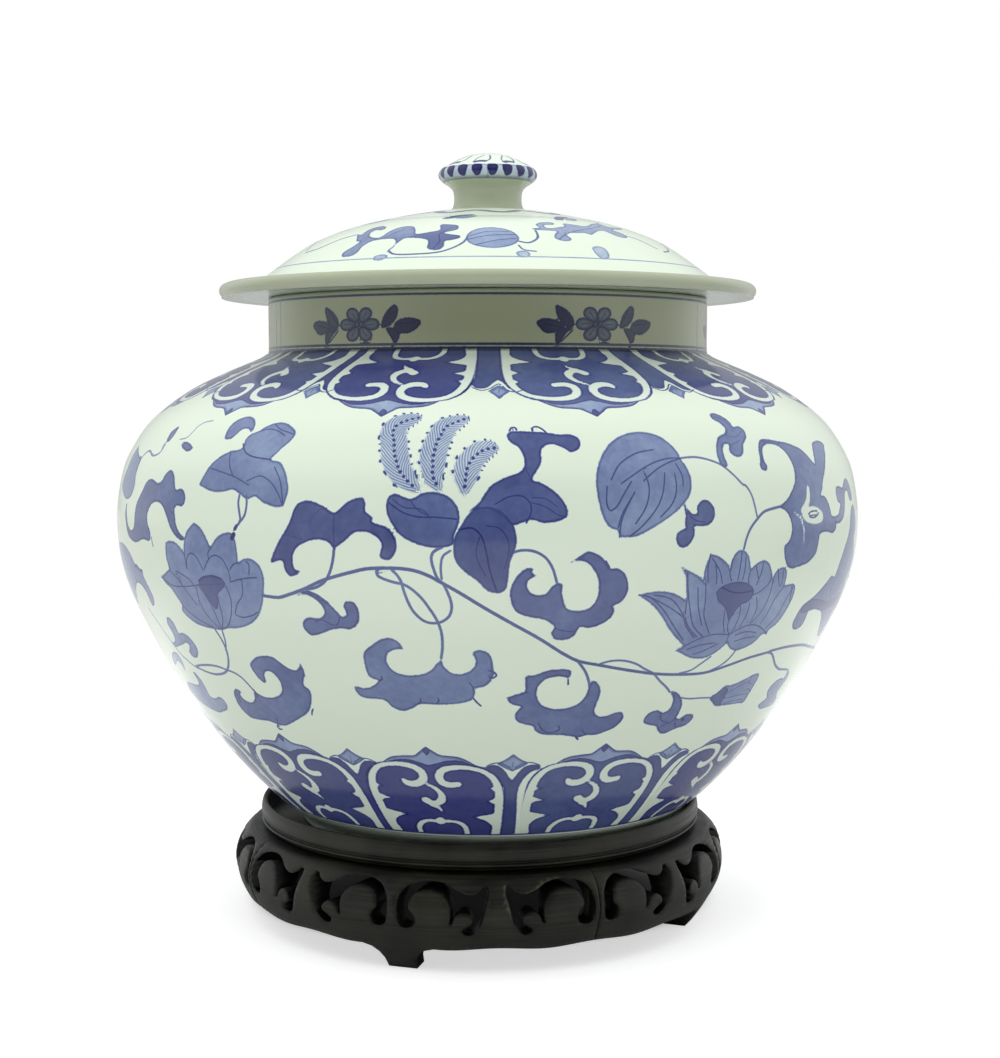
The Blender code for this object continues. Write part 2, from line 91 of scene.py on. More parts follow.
# Scrollwork of one face: tone and outline of each leaf or flower, in (turn, arc from the lip)
FILLS = {
    "scroll_leaf_a": (0.71, (
        (-29.7, 126.6), (-29.7, 126.6), (-29.3, 123.6), (-28.4, 119.5), (-27.3, 115.2), (-26.6, 111.8),
        (-25.9, 106.8), (-24.9, 105), (-23.7, 104.7), (-21.8, 106.4), (-20.2, 108.6), (-19.4, 107),
        (-18.2, 104.5), (-16.4, 103.2), (-15.9, 105.5), (-15.9, 107.7), (-14.8, 110), (-14.9, 111.4),
        (-12.8, 113.2), (-11.8, 116.8), (-11.7, 120.5), (-12.4, 123.4), (-13.2, 123.9), (-13.9, 122.7),
        (-13.6, 119.1), (-14.2, 116.4), (-15.6, 114.7), (-17.3, 115), (-18.5, 117.7), (-20.1, 120.7),
        (-20.1, 120.7), (-21.1, 118.1), (-22.8, 117.7), (-24.6, 119.2), (-25.7, 121.2), (-26.2, 124.5),
        (-26, 127.9), (-25.1, 128.8), (-25.1, 128.8), (-25.9, 130.3), (-26.8, 130.5), (-27.5, 128.2),
        (-27.7, 125.5), (-28.6, 125.5),
    )),
    "plume_leaf_left": (0.62, (
        (-13.1, 105), (-12.8, 102.6), (-11.9, 101.8), (-10.7, 103), (-9.7, 103.4), (-8.3, 101.4),
        (-6.7, 101.2), (-5.1, 102.5), (-4, 105.5), (-3.6, 109.1), (-3.8, 112.3), (-4.3, 115.5),
        (-4.3, 118.2), (-5.5, 119.4), (-7.6, 119.4), (-9.7, 117.7), (-11.2, 115.5), (-12.4, 111.4),
        (-13, 108.2),
    )),
    "plume_leaf_low": (0.71, (
        (-3.6, 113.2), (-4.3, 116.4), (-4.4, 120.5), (-4, 124.5), (-2.9, 127.7), (-1.4, 130.5),
        (-0.3, 133.6), (0.9, 134.8), (2.1, 134.1), (2.5, 130.9), (2.7, 125.5), (3.2, 121.4), (3.6, 118.2),
        (3.4, 113.2), (2.6, 109.4), (1.3, 106.6), (-0.3, 105.7), (-1.8, 106.8), (-2.9, 110),
    )),
    "plume_leaf_right": (0.66, (
        (-2.4, 107.7), (-1.1, 104.5), (-0.3, 101.2), (0.4, 98.9), (1.9, 96.5), (4.1, 94.3), (4.8, 91.8),
        (4.7, 88.2), (4.1, 85), (3.1, 83.2), (2.6, 80.9), (2.8, 79.3), (3.5, 78.6), (6, 78.8),
        (8.1, 79.2), (9.8, 80), (11.4, 80), (12.5, 81.5), (12.7, 83.9), (12.2, 86.1), (11.2, 87),
        (10.3, 85.5), (8.8, 83.9), (7.6, 84.8), (7.1, 86.8), (7.1, 90), (6.6, 93), (5.7, 96.8),
        (6.8, 97.9), (8.4, 100.6), (9.6, 103.9), (10.2, 107.3), (10, 109.5), (8.7, 111), (7, 111.4),
        (5.5, 110.3), (4.2, 111.4), (3, 112.1), (1.5, 108.6), (-0.3, 106.8),
    )),
    "scroll_leaf_e": (0.64, (
        (6.4, 129.3), (6.4, 129.3), (5.6, 127.9), (5.7, 126.2), (4.6, 126.8), (3.5, 129.7), (2.8, 134.1),
        (3.1, 139.1), (3.9, 141.9), (5.5, 143.5), (7.4, 144.5), (8.8, 147.3), (8.4, 149.5), (9, 152),
        (10.1, 152.5), (11.4, 151.5), (11.9, 149.3), (12.3, 147.5), (13.5, 148), (15, 147), (16.4, 144.5),
        (16.8, 141.8), (16.5, 140.3), (17.6, 138.8), (18.4, 135.5), (18.3, 131.4), (17.7, 128.5),
        (16.8, 127.1), (15.7, 126.8), (15.1, 124.3), (14.2, 122.3), (12.8, 121.1), (11.9, 122.3),
        (10.4, 124.8), (10.4, 124.8), (11.9, 124.1), (13.1, 125.7), (14.1, 129.5), (14.4, 133.6),
        (14.1, 138.2), (13.1, 140.9), (11.7, 141.5), (10.3, 140.6), (9.8, 137.7), (9.5, 134.5),
        (9.6, 132.5), (9, 131.4), (8.2, 132.7), (7.4, 135.2), (6, 135.5), (5.2, 133.9), (4.9, 131.5),
        (5.5, 129.8),
    )),
    "scroll_leaf_f": (0.52, (
        (-11.6, 156.3), (-11.6, 156.3), (-12.2, 153.4), (-13.4, 151.8), (-14.9, 152.8), (-16.2, 155.2),
        (-17.4, 157.7), (-17.7, 160.9), (-17.6, 166.8), (-17, 168.8), (-16.1, 169.7), (-17.3, 172.3),
        (-18.7, 173.2), (-20, 172.5), (-20.1, 174.3), (-19.7, 176.3), (-18.7, 177.5), (-16.6, 177.7),
        (-15.5, 178.4), (-14.9, 180.5), (-13.8, 182.1), (-12.7, 182.3), (-11.4, 180.9), (-10.2, 179.1),
        (-7.9, 179.2), (-5.1, 178.8), (-3.1, 177.7), (-2.2, 176.2), (-1.9, 173.4), (-2, 171.9),
        (-0.8, 171.4), (0.2, 169.5), (0.8, 166.4), (0.7, 162.7), (0.5, 159.4), (-0.2, 156.8),
        (-1.5, 156.1), (-2.3, 157.5), (-2.3, 157.5), (-1.8, 159.4), (-1.8, 162.1), (-2.5, 164.5),
        (-3.8, 166), (-5.1, 165.5), (-6.1, 163.2), (-6.5, 160), (-6.5, 160), (-7.2, 161.8), (-8.3, 165),
        (-10, 166.6), (-11.9, 166.8), (-13.5, 165.3), (-14.3, 162.1), (-14.1, 158.6), (-13.1, 156.5),
    )),
    "curl_g": (0.62, (
        (-26.2, 137.5), (-26.2, 137.5), (-24.9, 135.5), (-23.4, 135.9), (-21.8, 138.5), (-20.6, 141.8),
        (-19.7, 144.4), (-19, 143.2), (-19.3, 140.5), (-19, 138.8), (-18, 138.6), (-17.4, 140.5),
        (-17.2, 143.2), (-17.6, 146.8), (-18.8, 149), (-20.2, 148.8), (-21.8, 149.7), (-23.5, 151.5),
        (-24.9, 152.3), (-25.8, 150.3), (-25.9, 147.5), (-24.9, 145.3), (-23.5, 145.5), (-22.5, 144.5),
        (-22.2, 142.3), (-22.8, 139.5), (-23.9, 137.5), (-25.1, 136.8),
    )),
    "lotus_left": (0.46, (
        (-50.7, 122), (-49.3, 121.4), (-47.7, 122.3), (-46.2, 125.2), (-46.2, 125.2), (-46, 120.9),
        (-45.2, 117.1), (-43.8, 114.1), (-43.8, 114.1), (-42.3, 115.7), (-41.2, 118.8), (-40.3, 122.7),
        (-40.3, 122.7), (-39.7, 120.5), (-38.5, 117.9), (-37.2, 116.8), (-36.1, 117), (-35.4, 120.5),
        (-35.2, 127), (-35.2, 127), (-34.1, 125.5), (-32.7, 125.5), (-31.5, 127.7), (-31, 131.4),
        (-31.2, 135.5), (-31.7, 140), (-32.4, 143.6), (-33.6, 147.3), (-35.6, 150.3), (-38, 152),
        (-40.4, 152.7), (-41.5, 153.6), (-43.2, 153.6), (-45.3, 153.3), (-47.4, 152.3), (-49.1, 150),
        (-49.9, 147.7), (-49.3, 145.5), (-49.3, 145.5), (-50.2, 142.3), (-51.2, 139.3), (-52.4, 137.7),
        (-53.3, 135.3), (-53.3, 135.3), (-52, 133.9), (-50.4, 131.8), (-50.4, 131.8), (-50.9, 128.2),
        (-50.9, 124.3),
    )),
    "lotus_left_pod": (0.72, (
        (-43.7, 135), (-42.7, 133), (-40.8, 132.3), (-38.9, 133), (-38, 135), (-39, 137.5), (-40, 139.4),
        (-40.4, 143.2), (-41.2, 146.1), (-41.2, 146.1), (-42, 143.2), (-42.8, 139.5), (-43.6, 137),
    )),
    "scroll_leaf_k": (0.62, (
        (-45.7, 120), (-45.7, 120), (-47, 118.2), (-47.9, 115.5), (-48.3, 112.3), (-48.6, 109.4),
        (-47.9, 108.6), (-46.6, 108.6), (-46.2, 106.1), (-46.6, 103.6), (-47.5, 102.5), (-48.8, 103),
        (-49.3, 101.2), (-49.8, 98.5), (-50.7, 96.4), (-51.7, 96.1), (-52.6, 97.9), (-53.3, 100.5),
        (-54.5, 101.1), (-55.7, 100.2), (-57.1, 99.9), (-58.4, 101.4), (-59.2, 104.1), (-60.1, 106.6),
        (-61.1, 109.5), (-61.5, 112.7), (-61.6, 117), (-62.1, 119.1), (-63.3, 120), (-64.4, 119.1),
        (-65.2, 117.3), (-65.8, 114.1), (-66.3, 110.6), (-66.3, 110.6), (-66.9, 113.6), (-66.1, 117.9),
        (-65.4, 120.9), (-64.4, 122.7), (-62.5, 123.9), (-60.6, 123.9), (-58.8, 122.7), (-57.4, 122.3),
        (-56, 122.7), (-55.3, 121.2), (-55.5, 118.6), (-56.2, 116.4), (-56.5, 113.2), (-56, 110.5),
        (-55, 108.5), (-53.6, 107.9), (-52.2, 108.8), (-51, 111.4), (-50, 114.5), (-49, 117.7),
        (-47.7, 120), (-46.5, 120.9),
    )),
    "trilobed_leaf": (0.46, (
        (-43.5, 100.7), (-43.5, 100.7), (-42.8, 96.8), (-42.1, 93.5), (-40.8, 90), (-39, 87.7),
        (-37.3, 86.8), (-36.9, 85), (-37.1, 82.7), (-36.4, 80.5), (-35.2, 79.1), (-34.2, 76.8),
        (-32.7, 75.3), (-31.2, 75.3), (-29.8, 76.8), (-28.8, 78.6), (-28.4, 80.5), (-28.9, 83.6),
        (-29.8, 85.9), (-30.5, 88.4), (-31.1, 90.5), (-29.4, 91.4), (-28.2, 94.5), (-27.5, 98.2),
        (-27.2, 101.4), (-27.4, 104.1), (-27.7, 106.8), (-27.7, 106.8), (-28.8, 107.3), (-30.1, 106.6),
        (-31.2, 105.7), (-32.5, 103.8), (-33.8, 105), (-35.2, 103.2), (-36.6, 101.8), (-38.3, 102.7),
        (-40.1, 102.9), (-41.8, 102.1),
    )),
    "curl_m": (0.5, (
        (-41.6, 82.3), (-41.9, 78.2), (-41.5, 75), (-40.3, 72.9), (-39, 72.3), (-37.6, 73.8),
        (-36.7, 76.5), (-36.5, 79.7), (-37.1, 79.1), (-37.8, 78.2), (-38.9, 78.6), (-39.4, 80.7),
        (-40.1, 82.7), (-40.9, 82.9),
    )),
    "curl_n": (0.48, (
        (-57.3, 155.5), (-56.4, 152.6), (-55.3, 152.3), (-54.5, 154.5), (-54.4, 158.6), (-53.3, 158),
        (-51.8, 158.6), (-50.8, 160.9), (-50.4, 163.8), (-51, 166.5), (-52.2, 168.5), (-53.4, 168.3),
        (-53.8, 166.6), (-53, 164.5), (-52.6, 163), (-53.4, 162.3), (-54.7, 163.4), (-56, 164.3),
        (-57.8, 165.5), (-59, 165.9), (-59.9, 163.8), (-59.9, 163.8), (-58.5, 163.8), (-57.2, 162.1),
        (-56.9, 158.8),
    )),
    "fruit": (0.46, (
        (14.1, 100), (14.3, 95), (15.1, 89.8), (16.6, 84.5), (18.5, 81.1), (20.7, 79.3), (22.8, 79.3),
        (24.7, 80.9), (26, 83.8), (26.9, 87.3), (27.1, 90.2), (27.6, 92.7), (28, 96.5), (27.9, 100.5),
        (27.4, 103.4), (26.3, 106.4), (24.7, 109.5), (22.8, 112.3), (21.1, 114.5), (19.2, 116.5),
        (17, 116.6), (17, 116.6), (16.7, 114.3), (15.7, 113.2), (14.9, 110.3), (14.4, 105.5),
    )),
    "curl_p": (0.68, (
        (26.2, 105), (27, 107.9), (27.8, 109.5), (28.5, 109.4), (28.4, 107.5), (28.9, 105.7), (30, 104.8),
        (31, 106.8), (31.3, 109.7), (30.8, 112.3), (29.7, 113.7), (28.4, 113.7), (27.8, 113.9),
        (27.9, 116.4), (27.4, 118.8), (26.5, 120.7), (25.6, 120.5), (25.1, 118.6), (25.1, 116.4),
        (25.8, 114.8), (26.5, 114.3), (26.4, 112.3), (26.6, 109.5),
    )),
    "lotus_right": (0.46, (
        (19.9, 136.5), (19.9, 136.5), (22.2, 135.6), (24.2, 135.9), (26, 137.5), (27.4, 139.7),
        (27.4, 139.7), (27, 135), (26.7, 130.5), (25.5, 126.8), (25.5, 126.8), (27, 128.6),
        (28.8, 130.9), (30.1, 133.7), (30.1, 133.7), (29.6, 130.9), (29.9, 126.8), (30.5, 123.5),
        (30.5, 123.5), (31.9, 124.5), (33.3, 126.8), (34, 129.3), (34, 129.3), (34.3, 125.5),
        (35.2, 123), (36.3, 123), (37.3, 125.5), (37.8, 130), (37.8, 130), (38.9, 127.9), (40.3, 127),
        (41.5, 128.6), (42.3, 132.3), (42.8, 135.2), (42.8, 135.2), (42.8, 132.3), (43.9, 130.5),
        (45, 130.5), (45.7, 133), (45.6, 137.3), (45.6, 137.3), (46.9, 137), (48.1, 137.3),
        (48.6, 139.5), (48.5, 143.2), (47.8, 147.9), (46.8, 152.3), (45.1, 155), (45.2, 156.5),
        (45.2, 156.5), (44, 156.1), (43.3, 158.2), (42.3, 160), (40.6, 161.4), (39.2, 161.8),
        (37.8, 160.5), (36.7, 157.9), (36.7, 157.9), (35.7, 160.5), (34.3, 162.7), (32.6, 163.5),
        (30.5, 162.7), (28.8, 160.6), (27, 158.6), (27, 158.6), (28.8, 157.7), (28.4, 156.8),
        (26.7, 153.2), (25.3, 149.5), (23.9, 145), (22.2, 140.5),
    )),
    "lotus_right_pod": (0.72, (
        (32, 137.3), (32.9, 135), (35, 133.9), (37.1, 134.3), (38.8, 136.6), (39.2, 139.5), (38.5, 142),
        (37.2, 142.9), (36.4, 145.2), (35.6, 149.7), (35.6, 149.7), (34.8, 145.9), (34, 143.2),
        (32.6, 140.5),
    )),
    "curl_q": (0.5, (
        (35.9, 73.6), (36, 71.4), (36.9, 70.5), (38.1, 71.8), (39, 75), (39.1, 77.5), (40.2, 77.1),
        (41, 78.9), (40.6, 82.3), (39.3, 85), (38.75, 87.7), (37.8, 89.8), (36.6, 89.5), (36, 87.3),
        (36.5, 85), (35.6, 84.7), (34.9, 86.8), (34.7, 90), (34.8, 93), (34.3, 93.8), (33.5, 92.3),
        (33.5, 88.6), (34, 85), (35, 81.8), (36.6, 80.2), (37.2, 78.2), (36.8, 75.5),
    )),
    "eyed_leaf": (0.54, (
        (42.1, 95.6), (42.1, 95.6), (41.2, 95.1), (41, 93.2), (41.5, 91.4), (41.9, 88.2), (42.8, 84.5),
        (44, 83), (45.8, 83.4), (47.5, 84.1), (49.2, 84.7), (51, 85.9), (52.8, 87.7), (53.8, 90),
        (54.6, 92.7), (55.1, 94.3), (55.1, 94.3), (55.8, 91.8), (56.9, 87.7), (58, 85.5), (60, 84.7),
        (62.1, 85.3), (63.8, 89.1), (62.6, 86.8), (60.8, 90.5), (58.9, 94.5), (57.5, 97.7), (56.3, 100.5),
        (55.6, 103.4), (54.8, 105.7), (55.8, 106.1), (56.7, 107.7), (57.4, 110.6), (57.8, 113.6),
        (59.1, 114.3), (59.4, 116.8), (59.4, 118.8), (58.2, 120.2), (56.9, 119.7), (55.3, 119.2),
        (53.6, 119.7), (53.6, 119.7), (53.4, 122.7), (52.8, 126.6), (51.6, 128.8), (50.4, 130),
        (48.7, 130.6), (46.9, 131.2), (45.7, 130.3), (44.9, 127.9), (44.5, 125), (44.4, 122.5),
        (44.4, 122.5), (45.2, 121.5), (45.8, 119.7), (46.1, 116.4), (45.7, 112.7), (44.7, 110),
        (43.1, 108.6), (43.1, 108.6), (45.2, 106.6), (46.9, 103.2), (48.1, 99.5), (48.5, 95.9),
        (48.5, 98.2), (48.6, 92.7), (48.1, 88.6), (47, 86.1), (45.2, 85.1), (43.8, 85.6), (42.8, 87.7),
        (42.3, 91.4), (42.5, 93.8),
    )),
    "left_far_leaf": (0.48, (
        (-70.1, 87.3), (-68.2, 89.5), (-66.1, 91.4), (-64.4, 92.7), (-63.8, 95.9), (-63.7, 99.5),
        (-63.2, 102.7), (-63.2, 102.7), (-64, 106.6), (-66.1, 108.6), (-68.5, 108.2), (-70.9, 106.1),
        (-72.5, 103.8), (-72, 100.5), (-70.9, 96.8), (-70.9, 91.4),
    )),
    "leaf_t": (0.52, (
        (51.5, 150.6), (52, 147.7), (52.9, 145.9), (54.9, 144.1), (57, 141.4), (58.8, 138.6),
        (60.1, 136.8), (61.6, 137.5), (62.2, 135), (63, 131.2), (64.3, 126.8), (65.7, 123.2),
        (66.6, 119.5), (67.1, 115.2), (68.2, 112.3), (69.9, 111.4), (71.2, 115.4), (71.9, 120.2),
        (70.7, 124.3), (71.9, 128), (73, 133), (72.2, 138), (70.9, 140.8), (72.2, 145), (72.4, 150.4),
        (70.8, 154.6), (71, 159.4), (69.8, 163.8), (68.5, 165), (66.4, 163.2), (64.5, 159.1),
        (62.2, 153.6), (60.1, 150.6), (57.4, 149.4), (55.3, 149.5), (55.3, 153.2), (55, 155.7),
        (53.6, 156.9), (52.2, 156.1), (51.4, 153.6),
    )),
    "leaf_t_fold": (0.7, (
        (52, 148.4), (53.6, 145.6), (55.1, 144.5), (57.4, 145.2), (60.1, 146.5), (62.9, 147.5),
        (66.4, 146.8), (69.9, 145.9), (69.9, 149.5), (66.4, 150.6), (62.2, 151.5), (59.4, 150.5),
        (57.4, 149.5), (55.3, 149.7), (53.5, 150.2),
    )),
    "leaf_s": (0.52, (
        (60.6, 106.8), (60.6, 104.5), (61.2, 103.3), (62.6, 103.4), (64, 104.1), (64.7, 103),
        (65.8, 101.4), (67, 100.8), (68.2, 101.9), (69.2, 104.5), (69.7, 107.9), (69.1, 109.5),
        (67.8, 109.5), (67, 107.5), (66.6, 105.7), (65.5, 105.5), (64.8, 107), (64.3, 110),
        (63.6, 113.2), (62.6, 115.6), (60.8, 117), (59.4, 116.5), (58.9, 114.3), (60.6, 113.8),
        (61.2, 112.1), (61.9, 110), (61, 109.1),
    )),
    "leaf_z": (0.46, (
        (-75.1, 127), (-72.7, 126.4), (-69.9, 126.1), (-67.5, 126.8), (-65.4, 128.6), (-63.7, 131.4),
        (-62.5, 133.6), (-60.2, 134.7), (-60.1, 136.8), (-59.2, 140.5), (-58.5, 144.5), (-59.2, 147.7),
        (-60.4, 148.8), (-60.7, 146.8), (-61.1, 143.2), (-62.3, 140.9), (-64.2, 140.3), (-66.1, 142.3),
        (-68.2, 145.9), (-69.9, 149.5), (-71.7, 151.4), (-73.4, 142.3), (-74.8, 135),
    )),
    "scroll_leaf_h": (0.58, (
        (-38.1, 170.6), (-38.3, 167.5), (-37.4, 165.3), (-36.2, 163.5), (-34.1, 162.5), (-32.7, 163.2),
        (-31.3, 166.1), (-29.8, 167.7), (-28.8, 166.4), (-28.3, 163.8), (-28.3, 163.8), (-28, 167),
        (-28.1, 170), (-28.4, 170.5), (-28.9, 173.9), (-28.2, 175.5), (-28.1, 177.9), (-28.5, 180.6),
        (-29.2, 183.8), (-30.2, 186.5), (-31.6, 188.7), (-33.3, 190.9), (-35, 193), (-36.6, 194.5),
        (-38.2, 194.5), (-40.1, 193.4), (-42.5, 193.6), (-44.6, 193.4), (-45.8, 191.4), (-46.4, 188.2),
        (-46.2, 184.1), (-45.6, 181.4), (-44.5, 179.8), (-43.1, 181), (-43.1, 181), (-43.9, 181.4),
        (-44.3, 183), (-43.7, 184.6), (-42.6, 185.5), (-41.4, 184.5), (-40.6, 182.3), (-40.2, 179.1),
        (-40.2, 179.1), (-39.5, 180.3), (-38.4, 181.4), (-36.9, 181.5), (-35.1, 180.3), (-33.8, 178),
        (-33.3, 174.5), (-33.6, 171.4), (-34.4, 169.4), (-35.4, 169.4), (-36.1, 171.4), (-36.2, 173.8),
        (-36.8, 174.8), (-37.6, 173.2),
    )),
    "leaf_u": (0.48, (
        (-50.5, 188.5), (-50.8, 186.6), (-51.9, 186.1), (-53.3, 187.3), (-54.5, 187.7), (-55.5, 186.8),
        (-55.1, 183.2), (-55.1, 179.5), (-56, 176.5), (-56.9, 176.8), (-56.7, 180), (-57.4, 182.3),
        (-59.2, 183.2), (-61.2, 183.2), (-63.7, 183.6), (-65.4, 185.7), (-66.8, 189.4), (-65.1, 192.3),
        (-61.9, 194.1), (-58.5, 195), (-55.7, 195.1), (-53.6, 193.7), (-51.8, 192.3), (-50.8, 190.5),
    )),
    "leaf_u_top": (0.38, (
        (-66.1, 176.8), (-64.4, 172.5), (-61.9, 169.3), (-59.8, 169.1), (-59.3, 172.3), (-59.9, 175.5),
        (-60.7, 177.3), (-60.6, 174.5), (-61.9, 173.2), (-63.7, 175),
    )),
    "scroll_leaf_i": (0.6, (
        (5.5, 166.6), (5.5, 166.6), (6.7, 166.5), (8.1, 165), (10.1, 164.3), (11.7, 164.8),
        (11.9, 166.8), (11.6, 168.8), (11.2, 167.7), (9.8, 167.3), (8.4, 168.2), (7.5, 170.5),
        (7.1, 173.2), (7.4, 176.8), (8.3, 179.8), (10.1, 181.4), (12.1, 181.2), (13.8, 179.3),
        (14.7, 175.9), (14.9, 172.3), (15.2, 169.4), (15.2, 169.4), (16.1, 170.5), (16.8, 173.4),
        (16.9, 177), (16.6, 181.4), (16.7, 183.8), (17.6, 185.7), (19, 185.7), (20.1, 184.5),
        (21.3, 184.5), (21.9, 186.5), (21.7, 189.1), (20.9, 191.4), (19.4, 193.2), (18, 194.3),
        (16.2, 194.3), (14.9, 195.2), (13.6, 194.5), (11.7, 193.6), (10, 193.4), (8.4, 192.7),
        (7.4, 190.9), (7.1, 189), (6, 188.3), (4.6, 186.8), (4.1, 184.4), (4.4, 181.8), (5, 180.1),
        (3.5, 178.8), (2.6, 176.1), (2.6, 176.1), (4.2, 174.5), (5.3, 173.9), (5.4, 170.5), (5.3, 167.3),
    )),
    "curl_v": (0.58, (
        (28.9, 176.8), (28.9, 176.8), (30.2, 177.4), (31.5, 180), (32.4, 183.6), (32.5, 187.3),
        (32.3, 189.4), (33.1, 190.5), (33.7, 189.5), (34.4, 188.6), (35.7, 189.1), (36.2, 190.6),
        (35.9, 192.9), (34.9, 194.4), (33.8, 194.8), (32.7, 195.6), (31.5, 196.8), (30.3, 196.5),
        (29.4, 194.5), (28.8, 192.7), (27.4, 191.8), (26.1, 190.5), (25.9, 188.2), (26.5, 185.9),
        (27.9, 185), (29, 186.5), (30, 185.5), (30.3, 183.2), (30, 180),
    )),
    "bud": (0.46, (
        (37.9, 182), (37.9, 182), (39.2, 180), (40.3, 177.4), (41.6, 177.5), (43.3, 176.8),
        (45.1, 175.5), (46.5, 174.4), (48, 174.3), (48.6, 176.4), (48.5, 180), (48.4, 183.2),
        (48.2, 188.2), (48.2, 188.2), (46.8, 187.5), (44.7, 187.3), (42.3, 187), (40.6, 186.8),
        (39.3, 185),
    )),
    "bud_base": (0.66, (
        (37.9, 182), (39.2, 180.2), (40.3, 177.7), (41.2, 178.5), (42.1, 180.9), (41.4, 181.8),
        (42.3, 183.6), (41.4, 184.5), (41.9, 186.6), (40.6, 186.8), (39.3, 185),
    )),
    "leaf_x": (0.48, (
        (58.9, 176.1), (58.9, 176.1), (59.5, 178.6), (59.3, 180.6), (58.1, 180), (56.7, 180.3),
        (55.6, 181.5), (55, 183.8), (55.6, 186.5), (56.7, 188.8), (55.9, 190), (54.7, 191.1),
        (55.6, 192.9), (57, 194.3), (59.4, 194.6), (62.2, 194.9), (63.7, 193.9), (63, 191.4),
        (61.6, 189.5), (60.9, 187.3), (61.2, 184.5), (61.6, 181.4), (60.8, 178.6),
    )),
    "small_bud": (0.62, (
        (-56, 77.8), (-55.6, 79.5), (-55.6, 82.3), (-56.1, 84.8), (-56.9, 84.7), (-57.3, 82.7),
        (-57.4, 80.5), (-56.8, 79.1),
    )),
    "small_leaf": (0.6, (
        (-51.8, 84.9), (-50.5, 84.5), (-49.1, 85.3), (-47.7, 87.2), (-47.7, 87.2), (-48.8, 88.4),
        (-50.1, 87.7), (-51.1, 86.6),
    )),
}
